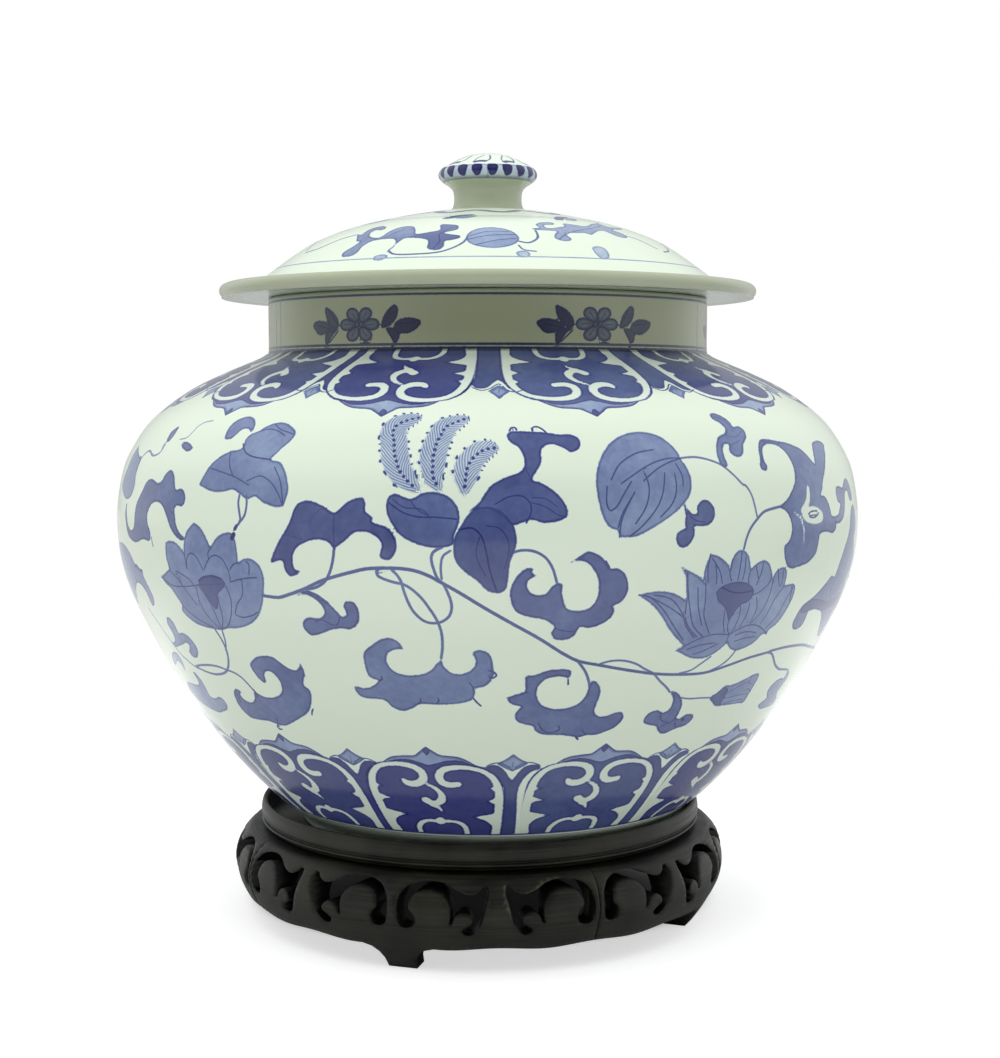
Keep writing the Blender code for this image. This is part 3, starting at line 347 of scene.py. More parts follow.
# Brush strokes on those outlines, in groups of one width and tone
LINES = {
    "scroll_leaf_a": (
        (0.7, 0.85, ((-20, 120.9), (-20.1, 116.8), (-20.2, 112.3), (-20.1, 109.1))),
        (0.6, 0.8,
         ((-21.3, 107.1), (-22.3, 107.7), (-23, 109.5)),
         ((-27.3, 116.4), (-26.5, 116.8), (-24.6, 117.7))),
    ),
    "vine": (
        (1.0, 0.66,
         ((-20.1, 120.7), (-20.3, 124.5), (-20.9, 129.1), (-21.8, 132.3), (-23.2, 134.3), (-24.9, 135))),
        (0.9, 0.62, ((2.5, 121.9), (3.9, 120.5), (5.6, 120.6), (7.2, 122.7), (8.2, 126.4), (8.8, 131.4))),
        (1.15, 0.66,
         ((-31.7, 138.2), (-29.1, 138.5), (-27.4, 137.3), (-24.9, 135), (-22.2, 131.8), (-20.1, 130),
          (-17.6, 128.2), (-15.6, 127), (-12.8, 126.6), (-10, 127), (-7.9, 128.6), (-6.2, 130.9),
          (-3.8, 134.5), (-0.3, 140.3), (3.2, 145.9), (6.7, 151.4), (10, 157.3), (12.1, 160.5),
          (13.5, 161.8), (15.9, 163.2), (19.7, 165.5), (24.9, 168.2), (29.4, 169.5), (34.3, 170),
          (38.5, 168.2), (43.3, 165.9), (47.5, 165), (48.7, 164.5), (53.2, 164.3), (59.4, 165.5),
          (65, 168.2), (71.2, 170.9), (80, 174.3))),
        (0.95, 0.6,
         ((-12.8, 126.8), (-13.8, 126.8), (-14.4, 127.9), (-14, 129.7), (-12.4, 131.2), (-10.5, 132.5),
          (-8.8, 136.1), (-7.6, 140.5), (-6.7, 144.8), (-6.2, 149.5), (-6.2, 155), (-6.5, 159.7)),
         ((-12.4, 127), (-11.3, 130.3), (-10.7, 135.9), (-9.8, 141.4), (-8.3, 145.2), (-6.5, 145.6),
          (-5.1, 143.2), (-4.7, 139.5), (-5, 135.9), (-5.7, 131.8), (-6.4, 130), (-6.9, 126.8),
          (-7.2, 123.2), (-6.9, 120.9), (-5.8, 119.4))),
        (0.8, 0.58, ((-5.9, 130), (-6, 125.9), (-5.7, 122.3), (-4.7, 120.5))),
        (0.95, 0.6, ((12.4, 160.6), (13.8, 165), (14.7, 169.5), (15.2, 173.9))),
        (0.8, 0.58,
         ((15.7, 163), (17.3, 161.8), (19.4, 161.8), (21.5, 163.4), (23.2, 165.9), (24.9, 168.2),
          (26.3, 171.4), (28.1, 175), (28.9, 177))),
        (0.7, 0.55, ((30.5, 179.4), (32.9, 181), (35.7, 181.5), (37.9, 182))),
        (0.95, 0.6,
         ((47.5, 165), (48.9, 165.7), (50.1, 167.7), (51.5, 170.6), (52.8, 172.7), (54.6, 174.6),
          (56.7, 175.5), (58.9, 176.4))),
        (0.8, 0.56,
         ((27.1, 89.8), (29.4, 89.5), (31.5, 90.5), (33.6, 92.7), (35.3, 96.4), (36.7, 100), (37.3, 100.6),
          (38.2, 104.5), (38.8, 111.8))),
        (0.95, 0.62,
         ((36.2, 122.7), (36.6, 119.1), (37.4, 115.5), (38.8, 112.3), (40.2, 110), (41.9, 109.1),
          (43.9, 108.5))),
        (0.8, 0.58,
         ((34.5, 163), (32.9, 165.9), (31.5, 168.2), (29.4, 169.1)),
         ((39.3, 161.5), (38.5, 165), (37.1, 167.7), (35, 169.7))),
        (0.95, 0.6,
         ((-43.1, 153.6), (-42.5, 157.7), (-42.4, 162.3), (-43, 166.8), (-44.1, 170.6), (-45.6, 173),
          (-48.1, 174.5), (-50.5, 174.5), (-53.1, 173.6))),
        (0.8, 0.58, ((-41.5, 153.9), (-41.8, 158.6), (-42.6, 162.7))),
        (0.95, 0.58,
         ((-53.1, 173.6), (-54.3, 173.2), (-52.2, 171.8), (-49.8, 170.9), (-47, 170.5), (-44.6, 171.4),
          (-43, 172.1), (-41.6, 173.9), (-40.8, 176.4), (-40.1, 179.1))),
        (0.8, 0.5,
         ((-63.3, 150.5), (-61.2, 157.7), (-59.5, 164.1), (-57.8, 169.1), (-56.7, 170.6), (-55, 172.8),
          (-53.1, 173.6))),
        (0.9, 0.6,
         ((-35.2, 103.4), (-35.3, 106.4), (-34.9, 110), (-34.7, 112.7), (-35.4, 114.5)),
         ((-34, 103.6), (-33.8, 106.8), (-34, 110.5), (-34.9, 113.2), (-35.4, 114.5))),
        (1.3, 0.85, ((-35.3, 114.3), (-35.6, 115.2))),
        (1.8, 0.92, ((-35.8, 117.3), (-36.1, 118.6))),
        (0.9, 0.5, ((-64.2, 92.7), (-63, 90), (-61.6, 89.1), (-59.2, 90.9), (-57.1, 89.3), (-56.9, 85.5))),
    ),
    "plume_leaf_left": (
        (0.7, 0.85, ((-12.8, 104.8), (-11, 107.9), (-9, 109.4), (-6.5, 109.5), (-3.9, 110.1))),
        (0.6, 0.8,
         ((-12.3, 103.6), (-10.7, 106.4), (-8.6, 106.8), (-7.2, 110)),
         ((-10, 103.6), (-9.2, 106.6), (-7.9, 108.8))),
    ),
    "plume_leaf_low": (
        (0.8, 0.92, ((-3.6, 113.6), (-2, 113), (-0.8, 115.9), (-0.2, 121.4), (0.2, 126.8), (1.1, 134.3))),
        (0.6, 0.88,
         ((-1, 115.7), (-1.5, 120.5), (-1.2, 124.5), (-0.3, 128.8)),
         ((-0.3, 112.3), (1.4, 113), (2.5, 116.8), (2.6, 121.4), (2, 126.8))),
    ),
    "plume_leaf_right": (
        (0.7, 0.85, ((0.9, 105.2), (2.5, 102.8), (4.2, 102.3), (5.3, 104.5), (5.5, 107.7), (4.8, 111.4))),
        (0.6, 0.8,
         ((5.3, 104.5), (7.2, 105.9), (8.8, 108.6), (10, 109.5)),
         ((5.5, 103), (7.4, 103.4), (8.8, 106.1)),
         ((4.9, 87.7), (5, 93.2), (5.6, 96.4))),
        (0.6, 0.85,
         ((3, 78.5), (3.2, 77.2), (3.8, 77), (4, 78.1)),
         ((6.2, 78.6), (6.2, 77.2), (6.8, 76.6), (7.5, 77.5), (8.2, 79.5))),
    ),
    "scroll_leaf_e": (
        (0.6, 0.85,
         ((8.8, 147.7), (10, 148.8), (11.4, 149.3), (11.9, 148.6)),
         ((15.2, 124.5), (15.7, 126.8))),
    ),
    "scroll_leaf_f": (
        (0.6, 0.85,
         ((-2.2, 176.1), (-1.7, 177.9), (-1.1, 179.5)),
         ((-10.7, 179.3), (-10.1, 177.9), (-10.1, 176.4)),
         ((-7.8, 178.8), (-7.3, 177.5), (-7.5, 176.3)),
         ((0.1, 164.5), (0.8, 165), (1.2, 166.4), (0.6, 167.7), (0.1, 166.8)),
         ((-16.1, 169.7), (-15.4, 169.1), (-15.6, 167.7))),
        (0.6, 0.8, ((-2.7, 169.5), (-2.2, 171.4), (-2, 173.6))),
    ),
    "curl_g": (
        (0.6, 0.85, ((-24, 147), (-22.8, 145.9), (-21.6, 147.5), (-20.6, 147.5), (-20.1, 144.5))),
    ),
    "lotus_left": (
        (0.6, 0.82,
         ((-53.3, 135.5), (-50.5, 138.1), (-47.4, 137.8), (-44.9, 137), (-43.5, 136.4), (-40.1, 135.6),
          (-38.2, 135)),
         ((-45.8, 130.9), (-45.6, 127), (-44.5, 125), (-43.2, 126.8), (-42.2, 130.9)),
         ((-42, 130.6), (-40.8, 126.6), (-39.4, 125), (-37.9, 126.8), (-37, 131.5), (-37.1, 134.3)),
         ((-46.2, 125.2), (-46, 128.2), (-45.8, 130.9)),
         ((-40.3, 122.7), (-40.9, 124.5), (-40.8, 126.6)),
         ((-35.2, 127), (-36.2, 127.9), (-36.9, 130)),
         ((-37.1, 134.3), (-34.9, 132.7), (-32.1, 131.8)),
         ((-48.6, 132.3), (-47.4, 133.2), (-45.6, 135), (-44.9, 137.3)),
         ((-48.2, 134.1), (-47.7, 137.7), (-46.1, 142.3), (-45.3, 144.5)),
         ((-44.4, 137.3), (-44.5, 142.3), (-43.9, 147.3), (-42.5, 151.4), (-41.5, 153.2)),
         ((-43.7, 137.3), (-42.7, 140.5), (-41.8, 145.9), (-41.4, 153.2)),
         ((-40.1, 139.5), (-40.2, 144.1), (-40.4, 148.6), (-41.3, 153.2)),
         ((-38.1, 135.5), (-37.6, 140.5), (-38.2, 145.9), (-39.4, 150.5), (-40.8, 153)),
         ((-37.5, 146.4), (-36.1, 147.3), (-34.2, 146.1), (-33, 144.5)),
         ((-34.9, 133.6), (-35.2, 138.6), (-36.6, 142.3), (-37.5, 146.4)),
         ((-49.3, 145.5), (-47.9, 148.2), (-46, 150.5), (-43.2, 153.2)),
         ((-50.5, 132.3), (-48.8, 135), (-47.7, 137.7)),
         ((-33.8, 126.4), (-33.3, 127.7), (-33.5, 130.9))),
        (0.9, 0.9, ((-43.6, 135), (-42.2, 133.4), (-40.4, 132.6), (-38.7, 133.4))),
    ),
    "scroll_leaf_k": (
        (0.6, 0.85, ((-66.3, 110.6), (-66, 114.5), (-65.2, 117.9), (-64.7, 121.4))),
        (0.6, 0.8, ((-49.7, 109.5), (-49.4, 110.9), (-48.6, 111.8))),
        (0.6, 0.6, ((-55, 120.9), (-54.9, 122.7), (-54.6, 124.3))),
    ),
    "trilobed_leaf": (
        (0.7, 0.8, ((-37.1, 84.7), (-36.2, 87.7), (-34.5, 89.5), (-32.4, 90.2), (-31.1, 90.5))),
        (0.6, 0.75,
         ((-35.2, 79.5), (-33.5, 78.2), (-31.6, 79.1), (-30.1, 81.1)),
         ((-32.9, 75.9), (-31.5, 78.2), (-29.8, 79.5), (-28.5, 80.5)),
         ((-34.3, 98.6), (-32.2, 96.6), (-30.3, 98.5), (-28.9, 102.1), (-27.9, 106.4)),
         ((-30.1, 93.2), (-28.6, 98.6), (-27.9, 105.5)),
         ((-41.8, 94.5), (-39.7, 95.5), (-36.6, 97.3), (-33.8, 100)),
         ((-39, 87.7), (-38.3, 92.7), (-36.9, 97.3))),
    ),
    "curl_n": (
        (0.6, 0.7, ((-54.5, 158.6), (-54.7, 160.5), (-54.6, 163.2))),
    ),
    "fruit": (
        (0.65, 0.78,
         ((27.2, 89.8), (24.9, 91.5), (22.8, 94.1), (20.7, 98)),
         ((19.4, 101.4), (17.9, 107.7), (17.2, 112.3), (17, 116.6)),
         ((24.1, 95), (23.4, 102.3), (22.2, 107.7), (20.1, 113.2), (18.3, 116.5)),
         ((25.6, 95.5), (25.5, 101.4), (24.6, 106.1), (22.8, 110.3)),
         ((23.2, 86.4), (20.4, 87.7), (17.7, 91.8), (16.2, 97.5)),
         ((15.6, 99.5), (15.4, 105), (15.9, 107.7), (16.9, 105.9), (17.8, 102.3), (19.1, 97.7)),
         ((27.2, 89.8), (24.6, 90), (21.5, 92.7), (17.6, 98.6)),
         ((21.1, 95), (21.5, 100.5), (20.8, 106.8), (19.2, 112.3)),
         ((26.1, 91.8), (26.7, 96.4), (26.6, 100)),
         ((19.2, 102.3), (17.5, 108.6), (16.8, 113.6))),
    ),
    "curl_q": (
        (0.5, 0.68, ((36.2, 72.8), (37.4, 73), (38.4, 76), (38.5, 79.5))),
        (0.5, 0.66, ((36.6, 81.2), (38.4, 81.8), (40.4, 79.4)), ((36.6, 85.2), (38, 84.2), (39.2, 83))),
    ),
    "curl_p": (
        (0.7, 0.85, ((27.2, 110), (28.2, 111.8), (29.6, 112.5))),
    ),
    "lotus_right": (
        (0.6, 0.8,
         ((20.1, 136.6), (21.8, 137.7), (23.9, 142.3), (26.3, 149.5), (28.4, 155.2)),
         ((22.2, 136.8), (24.9, 138.6), (27, 144.1), (28.2, 149.5), (30.1, 154.3)),
         ((27.4, 139.7), (27.7, 145.9), (28.9, 150.6), (30.8, 154.5)),
         ((27, 129.1), (27.3, 135), (28.1, 142.3), (29.4, 149.5), (31.7, 154.3)),
         ((30.1, 133.7), (30.5, 140.5), (30.8, 145.9), (32.6, 153.2)),
         ((28.9, 135), (29.5, 142.3), (30.8, 149.5)),
         ((30.5, 123.6), (30.2, 128.6), (30.5, 133.6)),
         ((30.8, 125), (32.2, 129.5), (32.9, 134.1)),
         ((31.4, 126.8), (31.8, 131.4), (31.9, 134.1)),
         ((34.3, 125.9), (34, 130.5), (34.5, 133.6)),
         ((35.9, 123.4), (35.8, 127.7), (35.6, 133.6)),
         ((36.7, 125), (36.7, 129.5), (36.5, 133.6)),
         ((37.8, 130), (37.6, 133.2), (37.8, 135)),
         ((38.8, 128.8), (39.2, 131.4), (39.7, 134.1)),
         ((40.2, 127.5), (40, 131.4), (39.3, 135.9)),
         ((42.3, 132.3), (41.9, 135.9), (40.2, 138.6), (39.1, 139.5)),
         ((42.8, 135.2), (42.6, 140.5), (41.9, 145.9), (40.2, 150.9)),
         ((45.6, 137.3), (44, 142.3), (43.3, 147.7), (42.5, 151.5)),
         ((48.1, 137.7), (46.8, 143.2), (46.1, 148.6), (44.2, 153.9)),
         ((43.5, 130.9), (43.9, 134.1), (44.4, 137.3)),
         ((44.7, 131.4), (44.9, 135), (44.7, 137.3)),
         ((35.6, 149.7), (35.9, 152.3), (36.6, 154.5)),
         ((38.8, 142.3), (38.8, 146.8), (38.2, 151.8)),
         ((37.1, 143.2), (37.4, 147.7), (36.9, 154.1)),
         ((34.3, 144.5), (34.7, 149.5), (35.5, 153.6)),
         ((39.9, 140.5), (40.6, 145), (40.2, 149.5)),
         ((28.8, 157.7), (30.5, 155.5), (32.9, 153.8), (35, 153.9), (36.6, 154.6)),
         ((36.6, 154.6), (37.8, 152.9), (39.9, 151.4), (41.9, 152), (43.7, 154.1), (45.1, 156.3)),
         ((36.6, 154.6), (36.5, 156.4), (36.7, 157.9)),
         ((29.4, 159.1), (31.5, 157.7), (34.3, 157.3)),
         ((30.8, 161.4), (32.9, 160), (35, 157.7)),
         ((37.8, 155), (39.9, 154.1), (42.3, 155)),
         ((38.1, 157.7), (40.2, 156.8), (42.6, 156.8)),
         ((47.5, 137.7), (47.8, 140.5), (48, 144.1)),
         ((20.8, 136.8), (22.5, 138.5), (25.3, 142.3), (27.4, 145.9))),
        (0.8, 0.95, ((32.9, 135.5), (35, 137.7), (37.1, 138.2), (38.8, 137.7))),
    ),
    "leaf_z": (
        (1.2, 0.85, ((-63.5, 133.8), (-62.5, 133.2), (-61.2, 134.7), (-60.3, 134.7))),
    ),
    "left_far_leaf": (
        (1.4, 0.8, ((-66.5, 110.9), (-66.1, 114.5), (-65.7, 117.7))),
        (1.1, 0.75, ((-65, 92.3), (-64.1, 92.7), (-64, 97.3))),
    ),
    "scroll_leaf_h": (
        (0.7, 0.85, ((-40.1, 178.6), (-39.7, 180.5), (-39.9, 182.3))),
        (0.6, 0.85, ((-37.9, 191.4), (-38.2, 194.5), (-38.7, 195.5), (-38.5, 196.8), (-37.8, 196.5))),
        (0.6, 0.8,
         ((-45.3, 182.3), (-45.1, 184.5), (-45.5, 186.8)),
         ((-28.8, 184.5), (-29.2, 185.7), (-29.5, 187.3))),
    ),
    "scroll_leaf_i": (
        (0.7, 0.85, ((7.9, 187.7), (8.8, 191.2), (10.1, 192.3), (11.5, 191.2), (11.2, 189.4))),
        (0.6, 0.85, ((11.6, 168.8), (11.7, 170.9))),
        (0.8, 0.85, ((14.4, 194.5), (14.9, 196.1))),
        (0.6, 0.85, ((4.9, 174.1), (6, 173.7)), ((16.1, 193.9), (15.6, 192.7), (15.2, 191.4))),
    ),
    "curl_v": (
        (0.6, 0.85,
         ((28.8, 186.2), (29.1, 189.1), (30, 190.9), (31, 191.4)),
         ((32.4, 187.7), (31.8, 191.4), (30.5, 192.3), (29.4, 194.3)),
         ((32.2, 189.4), (32.6, 192.3), (33.2, 194.3))),
        (0.7, 0.85, ((33.6, 190.9), (34.1, 190.3), (34.3, 191.4), (33.8, 191.8))),
    ),
    "bud": (
        (0.55, 0.7,
         ((42.1, 180.9), (44.2, 178.6), (46.5, 176.8)),
         ((42.3, 183.6), (44.7, 183.2), (47.5, 183.2)),
         ((41.9, 186.4), (44.7, 185.5), (47.2, 185.9)),
         ((46.5, 174.4), (46.3, 177.7), (47.3, 178.6)),
         ((46.1, 181.8), (47.2, 180.9), (48.4, 182.7))),
    ),
    "small_leaf": (
        (0.6, 0.42, ((-52.9, 83.6), (-51, 82.7), (-50.3, 80), (-49.9, 77.5), (-48.8, 75.6), (-47, 74.7))),
        (0.6, 0.5, ((-56.8, 84.7), (-57.3, 86.4), (-57.1, 88.2))),
    ),
}


def rad(degrees):
    return degrees * math.pi / 180.0


def smooth_line(points, steps=4, closed=False):
    """A soft curve through the points. A point given twice is a corner."""
    points = [tuple(float(v) for v in p) for p in points]
    if closed and points[0] != points[-1]:
        points = points + [points[0]]
    runs, run = [], [points[0]]
    for before, here in zip(points, points[1:]):
        if here == before:
            if len(run) > 1:
                runs.append(run)
            run = [here]
        else:
            run.append(here)
    if len(run) > 1:
        runs.append(run)
    ring = closed and len(runs) == 1
    line = []
    for run in runs:
        ends = (run[-2], run[1]) if ring else (run[0], run[-1])
        full = np.array([ends[0], *run, ends[1]])
        for i in range(1, len(full) - 2):
            # Four points in a row, where the curve runs from the second to the third
            a, b, c, d = full[i - 1:i + 3]
            for k in range(steps):
                t = k / steps
                line.append(0.5 * (2 * b + (c - a) * t + (2 * a - 5 * b + 4 * c - d) * t * t
                                   + (3 * b - a - 3 * c + d) * t ** 3))
        line.append(full[-2])
    return np.array(line)


class Paint:
    """Brushwork on a surface of revolution, kept as distances in millimetres at its grid points."""

    def __init__(self, columns, arc, radius):
        self.columns = columns
        self.arc = np.array(arc)
        self.radius = np.array(radius)
        self.step = full_turn / columns
        shape = (len(arc), columns)
        self.wash = np.full(shape, far)
        self.wash_tone = np.zeros(shape)
        self.deep = np.full(shape, far)
        self.deep_tone = np.zeros(shape)
        self.bare = np.full(shape, far)
        self.near = np.full((line_layers, *shape), far)
        self.line = np.full((line_layers, *shape, 3), far)
        self.line_tone = np.zeros((line_layers, *shape))
        self.plume = np.full((*shape, 3), NO_PLUME)
        self.plume_gap = np.full(shape, plume_reach)

    def patch(self, line, margin=reach):
        """Rows, columns and turns of the grid round a line of (turn, arc)."""
        low, high = line.min(0), line.max(0)
        rows = np.where((self.arc > low[1] - margin) & (self.arc < high[1] + margin))[0]
        if not len(rows):
            return None
        widest = margin / rad(max(self.radius[rows].min(), least_radius))
        widest = min(widest, full_turn / 2 - 1)
        first = math.floor((low[0] - widest) / self.step)
        last = math.ceil((high[0] + widest) / self.step)
        last = min(last, first + self.columns - 1)
        columns = np.arange(first, last + 1)
        return np.ix_(rows, columns % self.columns), columns * self.step, rows

    def offsets(self, line, turns, rows, margin=reach):
        """For each piece of a line: the part of a patch near it, the offset from it and how far along."""
        arcs, scale = self.arc[rows], rad(self.radius[rows])
        widest = margin / max(scale.min(), rad(least_radius))
        for a, b in zip(line, line[1:]):
            top, bottom = np.searchsorted(arcs, (min(a[1], b[1]) - margin, max(a[1], b[1]) + margin))
            left, right = np.searchsorted(turns, (min(a[0], b[0]) - widest, max(a[0], b[0]) + widest))
            if top == bottom or left == right:
                continue
            here = (slice(top, bottom), slice(left, right))
            wide = scale[here[0], None]
            ax, ay = (turns[None, here[1]] - a[0]) * wide, arcs[here[0], None] - a[1]
            bx, by = (b[0] - a[0]) * wide, b[1] - a[1]
            t = np.clip((ax * bx + ay * by) / np.maximum(bx * bx + by * by, tiny), 0, 1)
            yield here, ax - t * bx, ay - t * by, t, a, b

    def fill(self, points, tone, layer="wash", steps=4):
        """A closed shape: distance to its edge, negative inside."""
        line = smooth_line(points, steps, closed=True)
        found = self.patch(line)
        if found is None:
            return
        cells, turns, rows = found
        gap = np.full((len(rows), len(turns)), far)
        ring = np.concatenate((line, line[:1]))
        for here, dx, dy, *_ in self.offsets(ring, turns, rows):
            gap[here] = np.minimum(gap[here], np.hypot(dx, dy))
        arcs = self.arc[rows][:, None]
        inside = np.zeros(gap.shape, bool)
        for a, b in zip(ring, ring[1:]):
            if a[1] != b[1]:
                crossing = (a[1] > arcs) != (b[1] > arcs)
                inside ^= crossing & (turns[None, :] < a[0] + (arcs - a[1]) / (b[1] - a[1]) * (b[0] - a[0]))
        gap = np.where(inside, -gap, gap)
        held = getattr(self, layer)
        if layer == "bare":
            held[cells] = np.minimum(held[cells], gap)
            return
        tones = getattr(self, layer + "_tone")
        nearer = gap < held[cells]
        held[cells] = np.where(nearer, gap, held[cells])
        tones[cells] = np.where(nearer, tone, tones[cells])

    def spare(self, points, steps=4):
        """A stroke left bare: points of (turn, arc, half width)."""
        line = smooth_line(points, steps)
        margin = reach + line[:, 2].max()
        cells, turns, rows = self.patch(line, margin)
        gap = np.full((len(rows), len(turns)), far)
        for here, dx, dy, t, a, b in self.offsets(line, turns, rows, margin):
            gap[here] = np.minimum(gap[here], np.hypot(dx, dy) - (a[2] + t * (b[2] - a[2])))
        self.bare[cells] = np.minimum(self.bare[cells], gap)

    def stroke(self, points, width, tone, steps=4):
        """A brush line: the offset to its middle line, its half width and its tone."""
        line = smooth_line(points, steps)
        found = self.patch(line)
        if found is None:
            return
        cells, turns, rows = found
        gap = np.full((len(rows), len(turns)), far)
        across, down = gap.copy(), gap.copy()
        for here, dx, dy, *_ in self.offsets(line, turns, rows):
            away = np.hypot(dx, dy)
            nearer = away < gap[here]
            gap[here] = np.where(nearer, away, gap[here])
            across[here] = np.where(nearer, dx, across[here])
            down[here] = np.where(nearer, dy, down[here])
        self.lay(cells, gap, across, down, width, tone)

    def feather(self, spine, width, steps=8):
        """A plume: distance along its middle line, from it (negative on one side), and half width there."""
        line = smooth_line(spine, steps)
        cells, turns, rows = self.patch(line, plume_reach)
        scale = rad(self.radius[rows])
        along = arcs_of(line * (scale.mean(), 1))
        line = np.column_stack((line, along, width * np.interp(along / along[-1], *PLUME_TAPER)))
        away = np.full((len(rows), len(turns)), plume_reach)
        put = np.full((*away.shape, 3), plume_reach)
        for here, dx, dy, t, a, b in self.offsets(line, turns, rows, plume_reach):
            gap = np.hypot(dx, dy)
            side = np.sign((b[0] - a[0]) * scale[here[0], None] * dy - (b[1] - a[1]) * dx)
            half = a[3] + t * (b[3] - a[3])
            half = np.where(gap < half + plume_margin, half, 0.0)
            values = np.stack((a[2] + t * (b[2] - a[2]), side * gap, half), -1)
            nearer = gap < away[here]
            put[here] = np.where(nearer[..., None], values, put[here])
            away[here] = np.where(nearer, gap, away[here])
        nearer = away < self.plume_gap[cells]
        self.plume[cells] = np.where(nearer[..., None], put, self.plume[cells])
        self.plume_gap[cells] = np.where(nearer, away, self.plume_gap[cells])

    def ring(self, arc, width, tone):
        """A line all the way round."""
        rows = np.where(abs(self.arc - arc) < reach)[0]
        down = np.repeat(self.arc[rows][:, None] - arc, self.columns, axis=1)
        self.lay(np.ix_(rows, np.arange(self.columns)), abs(down), down * 0, down, width, tone)

    def lay(self, cells, gap, across, down, width, tone):
        """Puts a line in the layer with the least beside it: a layer keeps one line for each point."""
        beside = gap < line_spacing
        crowds = [np.sum(beside & (near[cells] < line_spacing)) for near in self.near]
        k = int(np.argmin(crowds))
        near, line, tones = self.near[k], self.line[k], self.line_tone[k]
        nearer = gap - width / 2 < near[cells] - line[cells][..., 2] * (near[cells] < far)
        put = np.stack((across, down, np.full(gap.shape, width / 2)), -1)
        near[cells] = np.where(nearer, gap, near[cells])
        line[cells] = np.where(nearer[..., None], put, line[cells])
        tones[cells] = np.where(nearer, tone, tones[cells])

    def attributes(self):
        """Name, values and the value of unpainted points."""
        for layer in ("wash", "deep", "bare"):
            yield layer, getattr(self, layer), far
        for layer in ("wash_tone", "deep_tone"):
            yield layer, getattr(self, layer), 0.0
        yield "plume", self.plume, NO_PLUME
        yield "plume_gap", self.plume_gap, plume_reach
        for k in range(line_layers):
            yield f"near_{k}", self.near[k], far
            yield f"line_{k}", self.line[k], far
            yield f"line_tone_{k}", self.line_tone[k], 0.0


def moved(points, turn, drop=0.0):
    """The points further round and further down. Whatever a point holds besides stays."""
    return [(p[0] + turn, p[1] + drop, *p[2:]) for p in points]


def paint_lines(paint, lines, turn=0.0, drop=0.0):
    """Strokes, given in groups of one width and tone."""
    for width, tone, *strokes in lines:
        for points in strokes:
            paint.stroke(moved(points, turn, drop), width, tone)


def paint_motif(paint, name, turn=0.0, drop=0.0):
    """One named part of the scrollwork: its fill, if it has one, and its lines."""
    if name in FILLS:
        tone, outline = FILLS[name]
        paint.fill(moved(outline, turn, drop), tone, "deep" if name in OVER else "wash")
    paint_lines(paint, LINES.get(name, ()), turn, drop)


# Border of lappets, one unit: turn from its middle, height above its base, for a stroke also half width
unit_count = 12
PANEL = (
    (-12.9, 0), (-12.9, 0), (-13.3, 12), (-13.3, 27), (-12.9, 33), (-11.8, 38), (-9.8, 41.6),
    (-7.8, 42.7), (-7.8, 42.7), (-5.6, 44.3), (-3.5, 44.6), (-1.2, 43), (0, 42.2), (1.3, 43),
    (3.3, 44.5), (5.7, 44.6), (7.8, 42.6), (7.8, 42.6), (9.9, 40.9), (11.9, 37), (13.1, 32), (13.4, 27),
    (13.3, 12), (12.9, 0), (12.9, 0),
)
CREST = (
    (-8.2, 42.4), (-8.2, 42.4), (-6.4, 45), (-4, 45.9), (-2.2, 46.2), (-1.3, 48), (0, 50.6), (0, 50.6),
    (1.2, 48.4), (2.4, 46.7), (5, 46.1), (6.5, 44.7), (8.2, 42.2), (8.2, 42.2), (4, 43), (0, 41),
    (-4, 43),
)
CREST_LINES = (
    ((-8.2, 42.4), (-6.4, 45.1), (-4, 46), (-2.2, 46.3), (-1.3, 48), (0, 50.7)),
    ((0, 50.7), (1.2, 48.5), (2.4, 46.8), (5, 46.2), (6.5, 44.8), (8.2, 42.2)),
)
CREST_TIP = ((-0.7, 49), (0, 50.9), (0.7, 49), (0.2, 46.8), (0, 46.4), (-0.2, 46.8))
# Bands left bare in a unit, with their half width
BANDS = (
    ((-12.4, -0.5, 1.3), (-12.5, 12, 1.5), (-12.45, 22, 1.6), (-12.1, 30, 1.5), (-11.2, 36, 1.3),
     (-9.5, 40, 1.1), (-7, 41.7, 1.0), (-4.4, 41.7, 1.2), (-2.3, 40, 1.4), (-1.4, 37, 1.5),
     (-1.7, 33.8, 1.6), (-3.2, 31.8, 1.7), (-4.7, 32, 1.5), (-5.4, 33.6, 0.9)),
    ((12.4, -0.5, 1.3), (12.6, 12, 1.5), (12.7, 22, 1.5), (12.4, 30, 1.4), (11.4, 35.5, 1.2),
     (9.5, 39.2, 1.0), (7, 40.9, 1.0), (4.6, 41, 1.2), (2.6, 39.8, 1.4), (1.6, 37, 1.5),
     (1.8, 33.6, 1.5), (3.1, 31.8, 1.5), (4.9, 32.2, 1.3)),
    ((-1.0, 31.8, 0.6), (0.6, 29.3, 0.9), (1.4, 26, 1.2), (1.2, 23, 1.6), (0.2, 20.9, 1.5),
     (-1, 20.8, 1.5), (-2, 22.6, 1.7)),
    ((-1, 19.6, 1.0), (0.2, 18, 0.8), (0.9, 15.6, 0.3)),
    ((-5.9, -0.5, 0.9), (-5.7, 4, 1.0), (-4.6, 7.6, 1.0), (-3, 9.2, 0.9), (-1.3, 9.2, 0.9),
     (-0.2, 7.8, 0.8), (1, 9.2, 0.9), (2.9, 9.2, 0.9), (4.6, 7.6, 1.0), (5.4, 4, 1.0), (5.5, -0.5, 0.9)),
)
